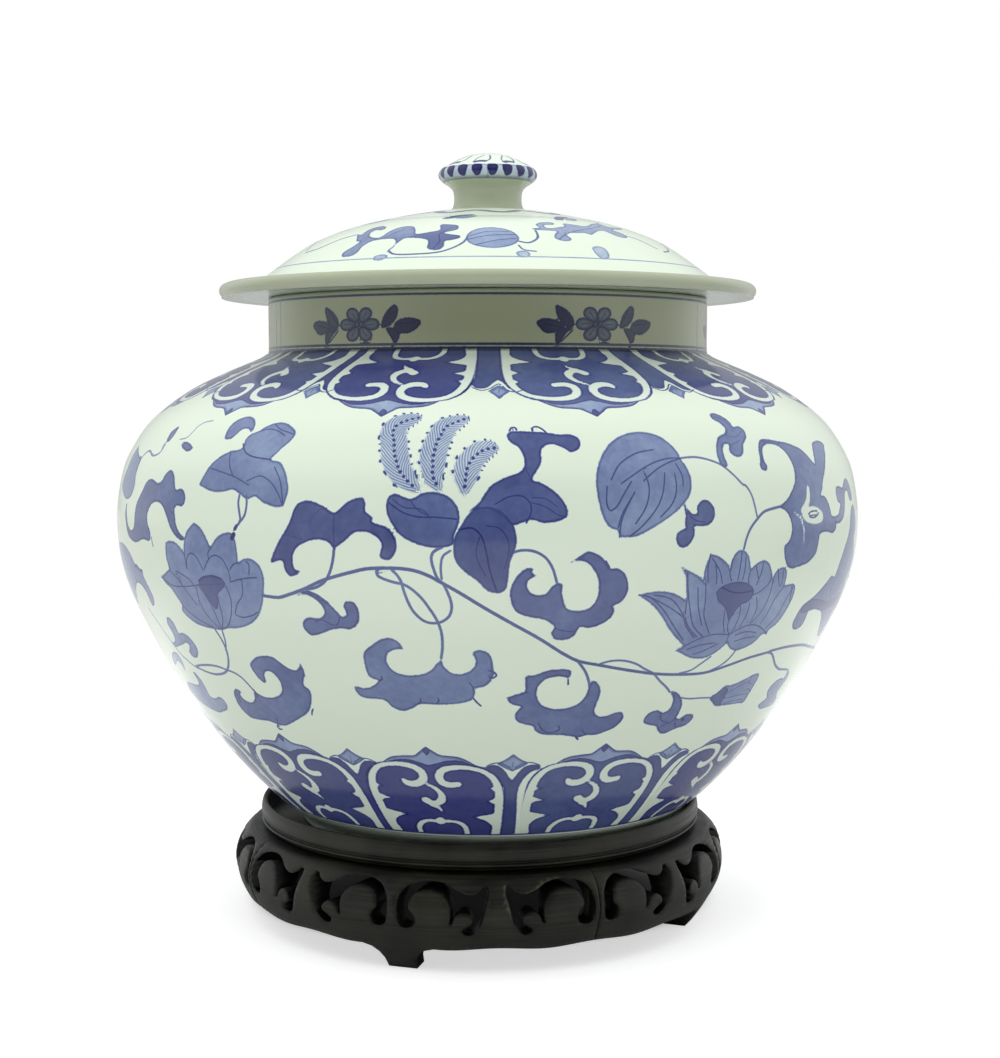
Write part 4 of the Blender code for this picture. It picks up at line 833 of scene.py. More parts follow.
# Teeth left bare at the unit's sides, and a small one in its middle
TEETH = (
    ((-12.2, 31.6), (-12.2, 31.6), (-10.2, 29.4), (-10.2, 29.4), (-11.4, 28.7), (-12.2, 27.5),
     (-12.2, 27.5)),
    ((-12.2, 25.6), (-12.2, 25.6), (-9.3, 22.5), (-9.3, 22.5), (-11, 21.8), (-12.2, 19.8), (-12.2, 19.8)),
    ((-12.4, 17), (-12.4, 17), (-11, 15), (-7.2, 12.8), (-7.2, 12.8), (-9.7, 10.6), (-11, 6.5),
     (-10.6, 0), (-12.4, 0), (-12.4, 0)),
    ((12.3, 32), (12.3, 32), (10.9, 30.2), (10.9, 30.2), (11.6, 28.6), (12.4, 27), (12.4, 27)),
    ((12.4, 25), (12.4, 25), (10.4, 22.3), (10.4, 22.3), (11.5, 21.2), (12.4, 19), (12.4, 19)),
    ((12.6, 16), (12.6, 16), (11.3, 14.4), (7.4, 12.6), (7.4, 12.6), (9.9, 10), (11.4, 6),
     (11.2, 0), (12.6, 0), (12.6, 0)),
    ((-1.1, 10.1), (0, 11.9), (1.1, 10.1), (0, 8.6)),
)
# Pillars between the units: first those of the lower border, then of the upper one
PILLAR = (
    (-2.1, 0), (-2.1, 0), (-1.6, 17.7), (-1.25, 25.9), (-1.4, 30.5), (-2.1, 34.1), (-3.3, 37.7),
    (-4.5, 39.5), (-4.8, 41.2), (-3.7, 42.4), (-2.5, 42), (-1.4, 39.5), (-0.6, 36.4), (0, 34.1),
    (0, 34.1), (0.6, 36.4), (1.4, 39.5), (2.5, 41.9), (3.9, 42.4), (5.1, 41.3), (4.8, 40.1), (3.4, 38.6),
    (2.3, 35.6), (1.5, 31), (1.3, 25.9), (1.6, 17.7), (2.1, 0), (2.1, 0),
)
PILLAR_LINES = (
    ((-4.6, 41.8), (-3.4, 43.3), (-1.9, 43.2), (-0.8, 41.3), (0, 39.2)),
    ((4.8, 41.9), (3.5, 43.3), (1.9, 43.2), (0.8, 41.3), (0, 39.2)),
)
UPPER_PILLAR = (
    (-4.4, 0), (-4.4, 0), (-4.1, 12), (-3.9, 24), (-4.2, 30), (-4.0, 34.5), (-2.8, 36), (-1.6, 34.5),
    (-0.9, 31), (0, 28.2), (0, 28.2), (1, 31), (1.9, 34), (3.2, 34.8), (4.2, 33.5), (4.4, 29), (4, 24),
    (4.1, 12), (4.4, 0), (4.4, 0),
)
UPPER_PILLAR_LINES = (
    ((-4.1, 35.4), (-2.6, 37), (-1.3, 35.6), (-0.6, 33), (0, 31.4)),
    ((4.4, 34), (3, 35.9), (1.6, 35), (0.6, 32.6), (0, 31.4)),
)
# The small crest that stands on each pillar
FINIAL = (
    (0, 39.4), (0, 39.4), (1.3, 41), (2.7, 43.2), (2.7, 43.2), (1.5, 44.6), (0.6, 46.2), (0, 47.6),
    (0, 47.6), (-0.6, 46.2), (-1.5, 44.6), (-2.7, 43.2), (-2.7, 43.2), (-1.3, 41),
)
FINIAL_LINES = (
    ((0, 40.4), (0, 42.4), (0.05, 44.4)), ((0.4, 41), (1.1, 42.2), (1.9, 43.2)),
    ((-0.4, 41), (-1.1, 42.2), (-1.9, 43.2)),
)
# Where each border starts and which way it grows, how dark it is, and where it stands in front. Both depths
# are partly the ink's own and partly painted light: paler for glare on the upper border and for the floor's
# reflection on the lower one
LOWER_BORDER = {
    "base": 250.0, "way": 1, "depth": 0.77, "middles": (-39.3, -10.5, 20.3, 51.2),
    "pillars": (-54.3, -25.1, 4.3, 34.9), "pillar": PILLAR, "pillar_lines": PILLAR_LINES,
    "finial_width": 1.0, "finial_drop": 0.0,
}
UPPER_BORDER = {
    "base": 21.0, "way": -1, "depth": 0.75, "middles": (-45.0, -15.8, 16.2, 49.2),
    "pillars": (-58.8, -30.7, 1.8, 33.5), "pillar": UPPER_PILLAR, "pillar_lines": UPPER_PILLAR_LINES,
    "finial_width": 0.62, "finial_drop": 6.5,
}
# Tones of a border, how they vary from unit to unit, and width and tone of its strokes
crest_tone = 0.36
crest_tip_tone = 0.7
panel_spread, panel_beat = 0.07, 2.4
pillar_spread, pillar_beat = 0.06, 1.7
pillar_paler = 0.02
CREST_STROKE = (0.6, 0.8)
PILLAR_STROKE = (0.5, 0.7)
FINIAL_STROKE = (0.5, 0.66)
FINIAL_VEIN = (0.45, 0.6)


def around(middles):
    """The stated middles, and the rest of the border's units evenly between the last and the first."""
    rest = unit_count - len(middles)
    gap = (middles[0] + full_turn - middles[-1]) / (rest + 1)
    return list(middles) + [middles[-1] + gap * (i + 1) for i in range(rest)]


def paint_border(paint, base, way, depth, middles, pillars, pillar, pillar_lines,
                 finial_width, finial_drop):
    """A border of lappets. way is 1 for units that stand on their base, -1 for units that hang from it."""
    def on(points, middle, wider=1.0, drop=0.0):
        return [(middle + way * p[0] * wider, base - way * (p[1] - drop), *p[2:]) for p in points]

    for i, middle in enumerate(around(middles)):
        paint.fill(on(CREST, middle), crest_tone)
        # The depth is partly painted light: paler for glare on the upper border and for the floor's
        # reflection on the lower one
        paint.fill(on(PANEL, middle), depth + panel_spread * math.sin(i * panel_beat), "deep")
        paint.fill(on(CREST_TIP, middle), crest_tip_tone, "deep")
        for band in BANDS:
            paint.spare(on(band, middle))
        for tooth in TEETH:
            paint.fill(on(tooth, middle), 0.0, "bare")
        for line in CREST_LINES:
            paint.stroke(on(line, middle), *CREST_STROKE)
    for i, middle in enumerate(around(pillars)):
        shade = depth - pillar_paler + pillar_spread * math.sin(i * pillar_beat)
        paint.fill(on(pillar, middle), shade, "deep")
        paint.fill(on(FINIAL, middle, finial_width, finial_drop), crest_tone)
        paint.stroke(on(FINIAL + FINIAL[:1], middle, finial_width, finial_drop), *FINIAL_STROKE)
        for line in FINIAL_LINES:
            paint.stroke(on(line, middle, finial_width, finial_drop), *FINIAL_VEIN)
        for line in pillar_lines:
            paint.stroke(on(line, middle), *PILLAR_STROKE)


# Feathered plumes above the leaves: half width of each, and its middle line from its foot
PLUMES = (
    (5.2, (-9.5, 99.6), (-10.4, 97.6), (-11.6, 94), (-12.2, 90.8), (-12.7, 87), (-13, 82.7),
     (-13.4, 79.2), (-13, 75.9), (-11.8, 73.9), (-10.5, 72.7), (-9.4, 72.3)),
    (5.0, (-6.5, 99.2), (-7.2, 95.4), (-7.25, 91.7), (-7.3, 88), (-7, 83.6), (-6.5, 80), (-6, 77),
     (-5.1, 75.3), (-4.2, 74), (-3.4, 73.1), (-2.5, 72.5)),
    (4.9, (-3, 100.2), (-2.9, 96.5), (-2.6, 92), (-1.7, 88.3), (-0.5, 86), (1.5, 84.9)),
)
# Shares of the length and of the half width
PLUME_TAPER = ((0.0, 0.12, 0.35, 0.7, 0.85, 0.95, 1.0), (0.45, 0.8, 1.0, 0.9, 0.72, 0.45, 0.05))
barb_turn = 31.0
barb_gap = 1.65
bead_gap = 2.1


# Sprigs on the neck: petals in millimetres, leaves by turn and arc from the flower's middle
sprig_pairs = 3
sprig_turns = (-32.1, 26.7)
sprig_arc = 12.6
petal_count = 6
petal_stretch = 1.33
petal_tone = 0.42
heart_radius = 1.3
heart_sides = 8
heart_tone = 0.3
light_leaf, dark_leaf = 0.64, 0.8
link_turns = (5.4, 7.6)
link_drops = (0.0, 0.8)
rib_shares = (0.1, 0.45, 0.8)
PETAL_EDGE = (0.55, 0.85)
PETAL_VEIN_STROKE = (0.4, 0.8)
HEART_EDGE = (0.5, 0.85)
HEART_DOT = (0.9, 0.85)
LEAF_RIB = (0.45, 0.97)
LINK_STROKE = (0.5, 0.75)
PETAL = (
    (1.4, -0.6), (2.8, -1.5), (4.4, -2.0), (5.9, -1.5), (6.6, 0.0), (5.9, 1.5), (4.4, 2.0), (2.8, 1.5),
    (1.4, 0.6),
)
PETAL_VEIN = ((2.1, 0.0), (3.6, 0.15), (5.0, 0.0))
HEART_DOT_ENDS = ((-0.1, 0.0), (0.1, 0.0))
SPRIG_LEAVES = (
    ((6.2, 1.2), (7, -3.2), (9.4, -7), (10.7, -5.4), (10, -1.6), (8.1, 0.8)),
    ((9.6, 0.4), (11.2, -1.8), (13.9, -2.2), (16.3, -1), (15.5, 1.5), (12.8, 3.6), (10, 2.7)),
    ((7.5, 1.6), (9.7, 1.6), (11, 4.1), (9.9, 7.4), (8.6, 4.6)),
    ((-6, 0.4), (-7.1, -3.8), (-10.3, -6.8), (-10.8, -5), (-9.8, -1.2), (-7.9, 1.2)),
    ((-8.1, 1.6), (-10.3, -1.2), (-13.5, -1.9), (-15.4, -0.6), (-14.6, 1.6), (-12.7, 3.6), (-9.8, 2.5)),
    ((-6, 1.6), (-7.9, 3.2), (-10.3, 7.8), (-10.9, 4.5), (-10.3, 2.4), (-7.9, 1.6)),
)


def paint_flower(paint, turn):
    """Petals round a ringed heart."""
    to_turn = 1 / rad(paint.radius[np.argmin(abs(paint.arc - sprig_arc))])

    def spun(points, angle):
        """Points in millimetres along and across a petal, as points of (turn, arc)."""
        c, s = math.cos(angle), math.sin(angle)
        wide = petal_stretch * to_turn
        return [(turn + (x * c - y * s) * wide, sprig_arc + x * s + y * c) for x, y in points]

    for k in range(petal_count):
        angle = math.tau * k / petal_count
        outline = spun(PETAL, angle)
        paint.fill(outline, petal_tone)
        paint.stroke(outline + outline[:1], *PETAL_EDGE)
        paint.stroke(spun(PETAL_VEIN, angle), *PETAL_VEIN_STROKE)
    heart = [spun(((heart_radius, 0.0),), a)[0] for a in np.linspace(0, math.tau, heart_sides + 1)]
    paint.fill(heart[:-1], heart_tone)
    paint.stroke(heart, *HEART_EDGE)
    paint.stroke(spun(HEART_DOT_ENDS, 0.0), *HEART_DOT)


def paint_sprig(paint, turn, right_is_darker):
    """A flower, three leaves on each side of it, and the starts of its links to the next sprigs."""
    paint_flower(paint, turn)
    for i, leaf in enumerate(SPRIG_LEAVES):
        on_right = i < len(SPRIG_LEAVES) // 2
        tone = dark_leaf if on_right == right_is_darker else light_leaf
        paint.fill(moved(leaf, turn, sprig_arc), tone, "deep")
        foot, tip = leaf[0], max(leaf, key=lambda p: math.dist(p, leaf[0]))
        rib = [tuple(f + (t - f) * share for f, t in zip(foot, tip)) for share in rib_shares]
        paint.stroke(moved(rib, turn, sprig_arc), *LEAF_RIB)
    for side in (1, -1):
        link = [(side * out, drop) for out, drop in zip(link_turns, link_drops)]
        paint.stroke(moved(link, turn, sprig_arc), *LINK_STROKE)


# Rings round the neck and above the foot: arc from the lip, width and tone
RINGS = ((1.9, 0.8, 0.62), (20.0, 0.9, 0.66), (21.4, 0.8, 0.9), (250.4, 1.1, 0.78), (252.6, 0.5, 0.34))
# Upright strokes between the neck's rings: their turns, width and tone, and the arcs of both ends
NECK_MARKS = (-68.0, -64.3, 66.2, 112.0, 115.7, 246.2)
NECK_MARK_STROKE = (0.5, 0.6)
neck_mark_arcs = (2.5, 19.8)
# Motifs of one face in the order of painting
MOTIFS = (
    "scroll_leaf_a", "plume_leaf_left", "plume_leaf_right", "plume_leaf_low", "scroll_leaf_e",
    "scroll_leaf_f", "curl_g", "lotus_left", "lotus_left_pod", "scroll_leaf_k", "trilobed_leaf", "curl_m",
    "curl_n", "fruit", "curl_p", "curl_q", "lotus_right", "lotus_right_pod", "eyed_leaf", "left_far_leaf",
    "leaf_t", "leaf_t_fold", "leaf_s", "leaf_z", "scroll_leaf_h", "leaf_u", "leaf_u_top", "scroll_leaf_i",
    "curl_v", "bud", "bud_base", "leaf_x", "small_bud", "small_leaf", "vine",
)
# Motifs laid over others
OVER = ("lotus_left_pod", "lotus_right_pod", "bud_base", "leaf_t_fold", "plume_leaf_low")
# The eye of the big leaf, and strokes left bare beside it with their half width
EYE_WHITE = (
    (48.7, 110.9), (48.7, 110.9), (50.1, 109.8), (51.8, 109.4), (53.5, 110.3), (54.8, 112.7),
    (54.4, 115.2), (52.5, 115.9), (50.4, 115.2), (49.2, 113.6),
)
BARE_STROKES = (
    ((51.2, 102.7, 0.9), (50.8, 106.8, 1.3), (49.9, 109.1, 1.2), (48.7, 110.5, 0.6)),
    ((46.8, 110.9, 0.4), (48.3, 113.2, 0.5), (49.1, 117.7, 0.5), (49.2, 122.3, 0.3)),
)
EYE_LINES = (
    (0.55, 0.75,
     ((50.4, 112.1), (51.5, 111.2), (53.2, 111.4), (53.4, 112.3), (52.2, 113.5), (50.9, 113.2),
      (50.4, 112.1))),
)
# What fills the jar's sides: motifs moved by a turn and an arc, and lines
SIDE_MOTIFS = (
    ("scroll_leaf_a", 14.0, 28.0), ("curl_g", 8.0, 4.0), ("scroll_leaf_k", 58.0, -12.0),
    ("curl_m", 52.0, 90.0), ("small_bud", 56.0, 18.0),
)
SIDE_LINES = (
    (1.0, 0.6, ((-12, 166), (-7, 160), (-2, 152), (4, 147), (10, 142), (16, 141))),
    (0.9, 0.6,
     ((-6, 158), (-4, 150), (-5, 140), (-8, 132)),
     ((3, 148), (5, 156), (4, 164), (0, 170))),
)


def paint_scrollwork(paint, turn):
    """The lotus scroll of one face, with its plumes and the bare eye of the big leaf."""
    for name in MOTIFS:
        paint_motif(paint, name, turn)
    for width, *spine in PLUMES:
        paint.feather(moved(spine, turn), width)
    paint.fill(moved(EYE_WHITE, turn), 0.0, "bare")
    for white in BARE_STROKES:
        paint.spare(moved(white, turn))
    paint_lines(paint, EYE_LINES, turn)


def paint_body(paint):
    """All that is painted on the jar's body."""
    paint_border(paint, **UPPER_BORDER)
    paint_border(paint, **LOWER_BORDER)
    for turn in (0.0, back_turn):
        paint_scrollwork(paint, turn)
    for turn in side_turns:
        for name, shift, drop in SIDE_MOTIFS:
            paint_motif(paint, name, turn + shift, drop)
        paint_lines(paint, SIDE_LINES, turn)
    for pair in range(sprig_pairs):
        for side, place in enumerate(sprig_turns):
            paint_sprig(paint, place + full_turn / sprig_pairs * pair, side == 0)
    for arc, width, tone in RINGS:
        paint.ring(arc, width, tone)
    for turn in NECK_MARKS:
        paint.stroke([(turn, arc) for arc in neck_mark_arcs], *NECK_MARK_STROKE, 1)


# Dome of the lid: outlines in (turn, arc from the foot of the knob)
DOME_FILLS = (
    (0.62, "wash", (
        (-44.6, 56.8), (-42.4, 60), (-40.5, 63.2), (-38.9, 63.6), (-39.2, 66.4), (-40.3, 69.1),
        (-40.8, 71.8), (-39.7, 74.1), (-38.1, 74.4), (-36.2, 73.6), (-35.6, 70.9), (-35.9, 68.2),
        (-34.8, 64.5), (-32.6, 63.2), (-29.9, 62.7), (-27.2, 63.2), (-25.5, 67), (-26.4, 71.6),
        (-25.8, 72), (-24.4, 63.6), (-22.3, 62.7), (-19.5, 63.2), (-16.8, 64.7), (-16, 67.3),
        (-15.7, 70.5), (-14.1, 72), (-12.2, 71.8), (-11.4, 69.5), (-11.6, 65.9), (-9.7, 65),
        (-8.1, 64.1), (-7.6, 62.7), (-8.6, 61.4), (-11.4, 60.7), (-13, 59.5), (-11.4, 58.2),
        (-9.4, 56.8), (-9.2, 53.6), (-10.3, 51.4), (-13, 50.5), (-15.4, 50), (-15.2, 53.6),
        (-14.6, 56.8), (-17.4, 58.2), (-20.1, 59.5), (-21.7, 59.1), (-22.8, 55.5), (-25, 51.8),
        (-27.7, 50.9), (-29.9, 51.8), (-31.5, 54.5), (-32.1, 58.2), (-32.6, 60.9), (-34.3, 61.4),
        (-37, 60), (-38.4, 58.2), (-39.2, 55.5), (-38.6, 53.6), (-36.4, 54.1), (-35.4, 53.2),
        (-36.2, 50.9), (-38.1, 49.1), (-40.3, 48.6), (-42.4, 50), (-43, 52.7), (-41.9, 57.3))),
    (0.78, "deep", (
        (-24.4, 63), (-22.3, 62.7), (-19.5, 63.2), (-16.8, 64.7), (-16, 67.3), (-15.7, 70.5),
        (-14.1, 72), (-12.2, 71.8), (-11.4, 69.5), (-11.6, 65.9), (-9.7, 65), (-7.6, 62.7), (-8.6, 61.4),
        (-13, 59.5), (-9.4, 56.8), (-9.2, 53.6), (-10.3, 51.4), (-15.4, 50), (-15.2, 53.6),
        (-14.6, 56.8), (-17.4, 58.2), (-21, 60.5))),
    (0.46, "wash", (
        (-6, 62), (-4.6, 57.5), (-1.5, 54.8), (2.5, 54.6), (6.2, 57), (8.4, 61.5), (8.2, 66), (5.5, 69.6),
        (1.4, 71), (-2.8, 69.6), (-5.4, 66.4))),
    (0.5, "wash", (
        (13.6, 55), (16.4, 54.1), (15.8, 51.8), (16.4, 49.5), (18.5, 47.3), (21.8, 46.4), (23.5, 47.3),
        (22.4, 50), (19.1, 50.5), (18.5, 53.6), (20.7, 54.1), (23.5, 52.7), (26.2, 50.9), (26.7, 48.2),
        (28.4, 47.3), (31.1, 48.2), (34.9, 49.5), (38.2, 47.7), (41.5, 45), (44.7, 43.6), (47.5, 42.3),
        (49.6, 40.9), (48, 44.5), (50.2, 47.3), (58.9, 46.4), (54.6, 49.1), (49.1, 50.5), (46.4, 51.8),
        (48, 54.5), (48, 57.3), (46.6, 59.5), (43.1, 59.1), (41.5, 56.4), (40.4, 54.1), (37.6, 54.5),
        (34.9, 56.8), (32.2, 59.1), (30.5, 57.7), (26.2, 58.2), (24, 58.2), (23.5, 60.9), (24, 63.2),
        (22.9, 65), (20.7, 65), (19.1, 63.6), (19.1, 61.8), (20.2, 59.1), (21.3, 57.3),
        (18.5, 56.8), (14.7, 56.4))),
    (0.34, "wash", ((7, 73.4), (9.4, 72.8), (10.4, 74.6), (9.6, 77), (7.4, 76.6))),
    (0.34, "wash", ((28, 70), (30.6, 68), (32.4, 70), (31.4, 75.4), (28.6, 76.8))),
    (0.34, "wash", ((-29, 75), (-26.8, 74), (-25, 75.6), (-26.4, 78), (-28.6, 77.6))),
)
DOME_LINES = (
    (0.6, 0.8, ((-43, 56), (-40, 52), (-37, 52)), ((-31, 62), (-29, 58), (-27, 54))),
    (0.6, 0.85, ((-14, 71), (-13, 66), (-14, 60), (-11, 54))),
    (0.6, 0.7, ((20, 64), (24, 59), (30, 55), (38, 51), (46, 46))),
    (0.9, 0.6,
     ((-25.8, 72), (-24, 74), (-20, 74.6), (-12, 73.4), (-7, 68), (-5.6, 63)),
     ((8.2, 66), (11, 67), (14, 63), (14.4, 57))),
    (0.7, 0.6, ((8, 69), (9, 72), (12, 73))),
    (0.9, 0.55, ((48, 57), (52, 60), (56, 66)), ((-44.6, 57), (-50, 60), (-56, 66), (-62, 68))),
    (0.55, 0.72,
     ((-5, 62), (0, 58.5), (6, 58.5)), ((-3, 68.6), (2, 65.5), (7.6, 64)),
     ((-5.6, 65), (0, 61.8), (8, 61))),
)
# Small leaves round the knob's foot
STAR_LEAVES = (
    (0.78, "deep", (
        (-18, 41.5), (-15, 36), (-10.5, 33), (-5.4, 33.4), (-8, 36), (-12, 38.6), (-14.6, 41.6))),
    (0.42, "wash", ((-13, 40.6), (-9, 37), (-4.6, 36), (-6, 39.6), (-9.4, 41.8))),
)
DOME_RINGS = ((36.0, 0.6, 0.45), (38.6, 0.5, 0.4), (76.6, 0.7, 0.36))
dome_repeats = 3
# Painted highlight: washes on the dome paler by this share, for glare on its upward-facing surface
dome_depth_with_painted_glare = 0.78
star_count = 8
# The wavy ring round the knob's foot
wave_arc = 22.0
wave_height = 3.2
wave_count = 12
wave_points = 96
WAVE_STROKE = (4.2, 0.66)
# The knob: a wash, broad dots and petals, in (turn, arc) from its rim
knob_wash_arcs = (-2.6, 4.2)
knob_wash_tone = 0.2
knob_dots = 20
knob_dot_shift = 0.3
knob_dot_tone = 0.97
knob_petals = 9
knob_petal_shift = 0.25
KNOB_DOT = (
    (-6.2, -2.2), (-3, -2.7), (3, -2.7), (6.2, -2.2), (6.3, -0.6), (4.6, 1.2), (2, 2.4), (-2, 2.4),
    (-4.6, 1.2), (-6.3, -0.6),
)
KNOB_PETAL = (
    (2.0, 0.92, ((-7, -4.7), (-1, -5.4), (6, -5.2))),
    (0.7, 0.6, ((8, -5.2), (14, -8), (14, -12))),
    (0.6, 0.5, ((-9, -4.4), (-8, -8), (2, -12))),
)


def paint_dome(paint):
    """Scrollwork on the dome, and a wavy ring and small leaves round the knob's foot."""
    for k in range(dome_repeats):
        turn = full_turn / dome_repeats * k
        for tone, layer, outline in DOME_FILLS:
            # Washes paler as painted glare
            paint.fill(moved(outline, turn), tone * dome_depth_with_painted_glare, layer, 3)
        paint_lines(paint, DOME_LINES, turn)
    for k in range(star_count):
        turn = full_turn / star_count * k
        for tone, layer, outline in STAR_LEAVES:
            paint.fill(moved(outline, turn), tone, layer)
    halfway = wave_points // 2
    for start in (0, halfway):
        turns = [full_turn * (start + k) / wave_points for k in range(-1, halfway + 2)]
        wave_line = [(turn, wave_arc + wave_height * math.sin(rad(turn) * wave_count)) for turn in turns]
        paint.stroke(wave_line, *WAVE_STROKE, 2)
    for arc, width, tone in DOME_RINGS:
        paint.ring(arc, width, tone)


def paint_knob(paint, rim_arc):
    """Broad dots round the knob's rim with a pale wash between them, and petals on its top."""
    upper, lower = (rim_arc + arc for arc in knob_wash_arcs)
    for start in (0.0, full_turn / 2):
        left, right = start - 1, start + full_turn / 2 + 1
        paint.fill(((left, upper), (right, upper), (right, lower), (left, lower)), knob_wash_tone, steps=1)
    for k in range(knob_dots):
        turn = full_turn * (k + knob_dot_shift) / knob_dots
        paint.fill(moved(KNOB_DOT, turn, rim_arc), knob_dot_tone, "deep")
    for k in range(knob_petals):
        paint_lines(paint, KNOB_PETAL, full_turn * (k - knob_petal_shift) / knob_petals, rim_arc)


# Surfaces of revolution from the frame, in millimetres but for the metres of on_plane
mm = 0.001
on_plane = 1e-5
same_place = 0.01
corner_turn = 34.0
smooth_steps = 8
lip_rows = 10
neck_foot = 228.6
neck_inside = 85.0
knob_height = 15.0
knob_reach = 30.0
stem_flare = 1.8
stem_margins = (1.0, 2.5)
flange_from = 98.0
flange_fade = 7.0
flange_level = 257.6
# How far the glaze is tinted cream and darkened as painted shade under the knob and on the flange's edge
stem_cream_and_shade = 0.75
flange_cream_and_shade = 0.85


def half_plane(node):
    """Outline of a turned CAD node in (radius, height), millimetres, from its upper point on the axis."""
    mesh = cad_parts[node].data
    places = np.array([v.co for v in mesh.vertices], float)
    in_plane = (abs(places[:, 0]) < on_plane) & (places[:, 1] < on_plane)
    keys = {i: (round(-places[i, 1] / mm, 3), round(places[i, 2] / mm, 3)) for i in np.where(in_plane)[0]}
    near = {}
    for edge in mesh.edges:
        a, b = edge.vertices
        if a in keys and b in keys and keys[a] != keys[b]:
            near.setdefault(keys[a], set()).add(keys[b])
            near.setdefault(keys[b], set()).add(keys[a])
    ends = [k for k in near if len(near[k]) == 1]
    path = [max(ends, key=lambda k: k[1])]
    while True:
        ahead = [k for k in near[path[-1]] if k not in path]
        if not ahead:
            break
        path.append(min(ahead, key=lambda k: math.dist(k, path[-1])))
    first, last = ([(0.0, k[1])] if k[0] > same_place else [] for k in (path[0], path[-1]))
    return np.array(first + path + last)


def smoothed(outline):
    """The outline made smooth, its sharp corners kept."""
    points = [tuple(outline[0])]
    for before, here, after in zip(outline, outline[1:], outline[2:]):
        into, out = here - before, after - here
        cosine = into @ out / (np.linalg.norm(into) * np.linalg.norm(out))
        points.append(tuple(here))
        if cosine < math.cos(rad(corner_turn)):
            points.append(tuple(here))
    points.append(tuple(outline[-1]))
    return smooth_line(points, smooth_steps)


def arcs_of(line):
    """How far each point lies from the first along the line."""
    return np.concatenate(([0], np.cumsum(np.hypot(*np.diff(line, axis=0).T))))


def resampled(line, step):
    """The line with its points at even steps."""
    arc = arcs_of(line)
    count = max(2, int(round(arc[-1] / step)) + 1)
    at = np.linspace(0, arc[-1], count)
    return np.stack([np.interp(at, arc, line[:, c]) for c in (0, 1)], 1)


def grid_mesh(name, rows, columns, uv_of):
    """A mesh of rings, each row (radius, height) in millimetres, closed by a small cap on the axis."""
    radii = np.maximum([row[0] for row in rows], pole_radius)
    turns = np.arange(columns) / columns * math.tau
    ring = np.stack((np.sin(turns), -np.cos(turns)), 1)
    levels = [np.full(columns, row[1]) for row in rows]
    places = [np.column_stack((ring * radius, level)) for radius, level in zip(radii, levels)]
    places = np.concatenate(places) * mm
    i, j = np.meshgrid(np.arange(len(rows) - 1), np.arange(columns), indexing="ij")
    i, j = i.ravel(), j.ravel()
    k = (j + 1) % columns
    quads = np.stack((i * columns + k, i * columns + j, (i + 1) * columns + j, (i + 1) * columns + k), 1)
    turn = np.stack((j + 1, j, j, j + 1), 1) / columns
    row = np.stack((i, i, i + 1, i + 1), 1)
    corners, starts = [quads.ravel()], [np.arange(len(quads)) * 4]
    marks = [uv_of(turn, row).reshape(-1, 2)]
    for at, order in ((0, 1), (len(rows) - 1, -1)):
        if radii[at] <= pole_radius:
            starts.append([sum(len(c) for c in corners)])
            corners.append(at * columns + np.arange(columns)[::order])
            middle = uv_of(np.zeros((1, 1)), np.array([[at]])).reshape(1, 2)
            marks.append(np.repeat(middle, columns, axis=0))
    return smooth_mesh(name, places, *(np.concatenate(parts) for parts in (corners, starts, marks)))


def smooth_mesh(name, places, corners, starts, marks):
    """A mesh from the corners of all faces in a row, where each face starts, and the corners' UVs."""
    mesh = bpy.data.meshes.new(name)
    mesh.vertices.add(len(places))
    mesh.vertices.foreach_set("co", places.ravel())
    mesh.loops.add(len(corners))
    mesh.loops.foreach_set("vertex_index", corners)
    mesh.polygons.add(len(starts))
    mesh.polygons.foreach_set("loop_start", starts)
    mesh.update(calc_edges=True)
    mesh.polygons.foreach_set("use_smooth", np.ones(len(starts), bool))
    layer = mesh.uv_layers.new(name="OFBake")
    layer.data.foreach_set("uv", marks.ravel())
    mesh.update()
    return mesh


def set_attribute(mesh, name, values):
    """Stores values on the vertices. With a third axis they are vectors."""
    kind, key = ("FLOAT_VECTOR", "vector") if values.ndim == 3 else ("FLOAT", "value")
    attribute = mesh.attributes.new(name, kind, "POINT")
    attribute.data.foreach_set(key, values.astype(np.float32).ravel())


def put_paint(mesh, paint, first_row, row_count):
    """Stores the brushwork on the mesh, whose painted rows start at first_row."""
    for name, values, empty in paint.attributes():
        full = np.full((row_count, *values.shape[1:]), empty)
        full[first_row:first_row + len(values)] = values
        set_attribute(mesh, name, full)


def shown(name, mesh, material, node_body, nodes):
    """A piece of the scene that rides on a body and takes the place of CAD nodes."""
    ob = bpy.data.objects.new(name, mesh)
    bpy.context.scene.collection.objects.link(ob)
    mesh.materials.append(material)
    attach(ob, node_body)
    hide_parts(*nodes)
    return ob


def body_uv(row_arcs):
    """Two strips, one for each half of the jar."""
    side, end = 0.002, 0.001

    def place(turn, row):
        half = np.floor(turn.min(axis=1, keepdims=True) * 2)
        u = turn * 2 - half
        v = (half + row_arcs[row] / row_arcs[-1]) / 2
        return np.stack((side + (1 - 2 * side) * u, end + (1 - 2 * end) * v), -1)
    return place


def polar_uv(row_arcs):
    """A disc, with the first row in its middle."""
    middle, size = 0.5, 0.499

    def place(turn, row):
        angle = turn * math.tau
        out = row_arcs[row] / row_arcs.max() * size
        return np.stack((middle + out * np.sin(angle), middle - out * np.cos(angle)), -1)
    return place


def rise(values, start, width):
    """0 up to start, 1 from start + width on, and even between."""
    return np.clip((values - start) / width, 0, 1)


def split_outline(outline, start):
    """The outline before and after its point nearest to start."""
    at = int(np.argmin(np.hypot(*(outline - np.array(start)).T)))
    return outline[:at + 1], outline[at:]


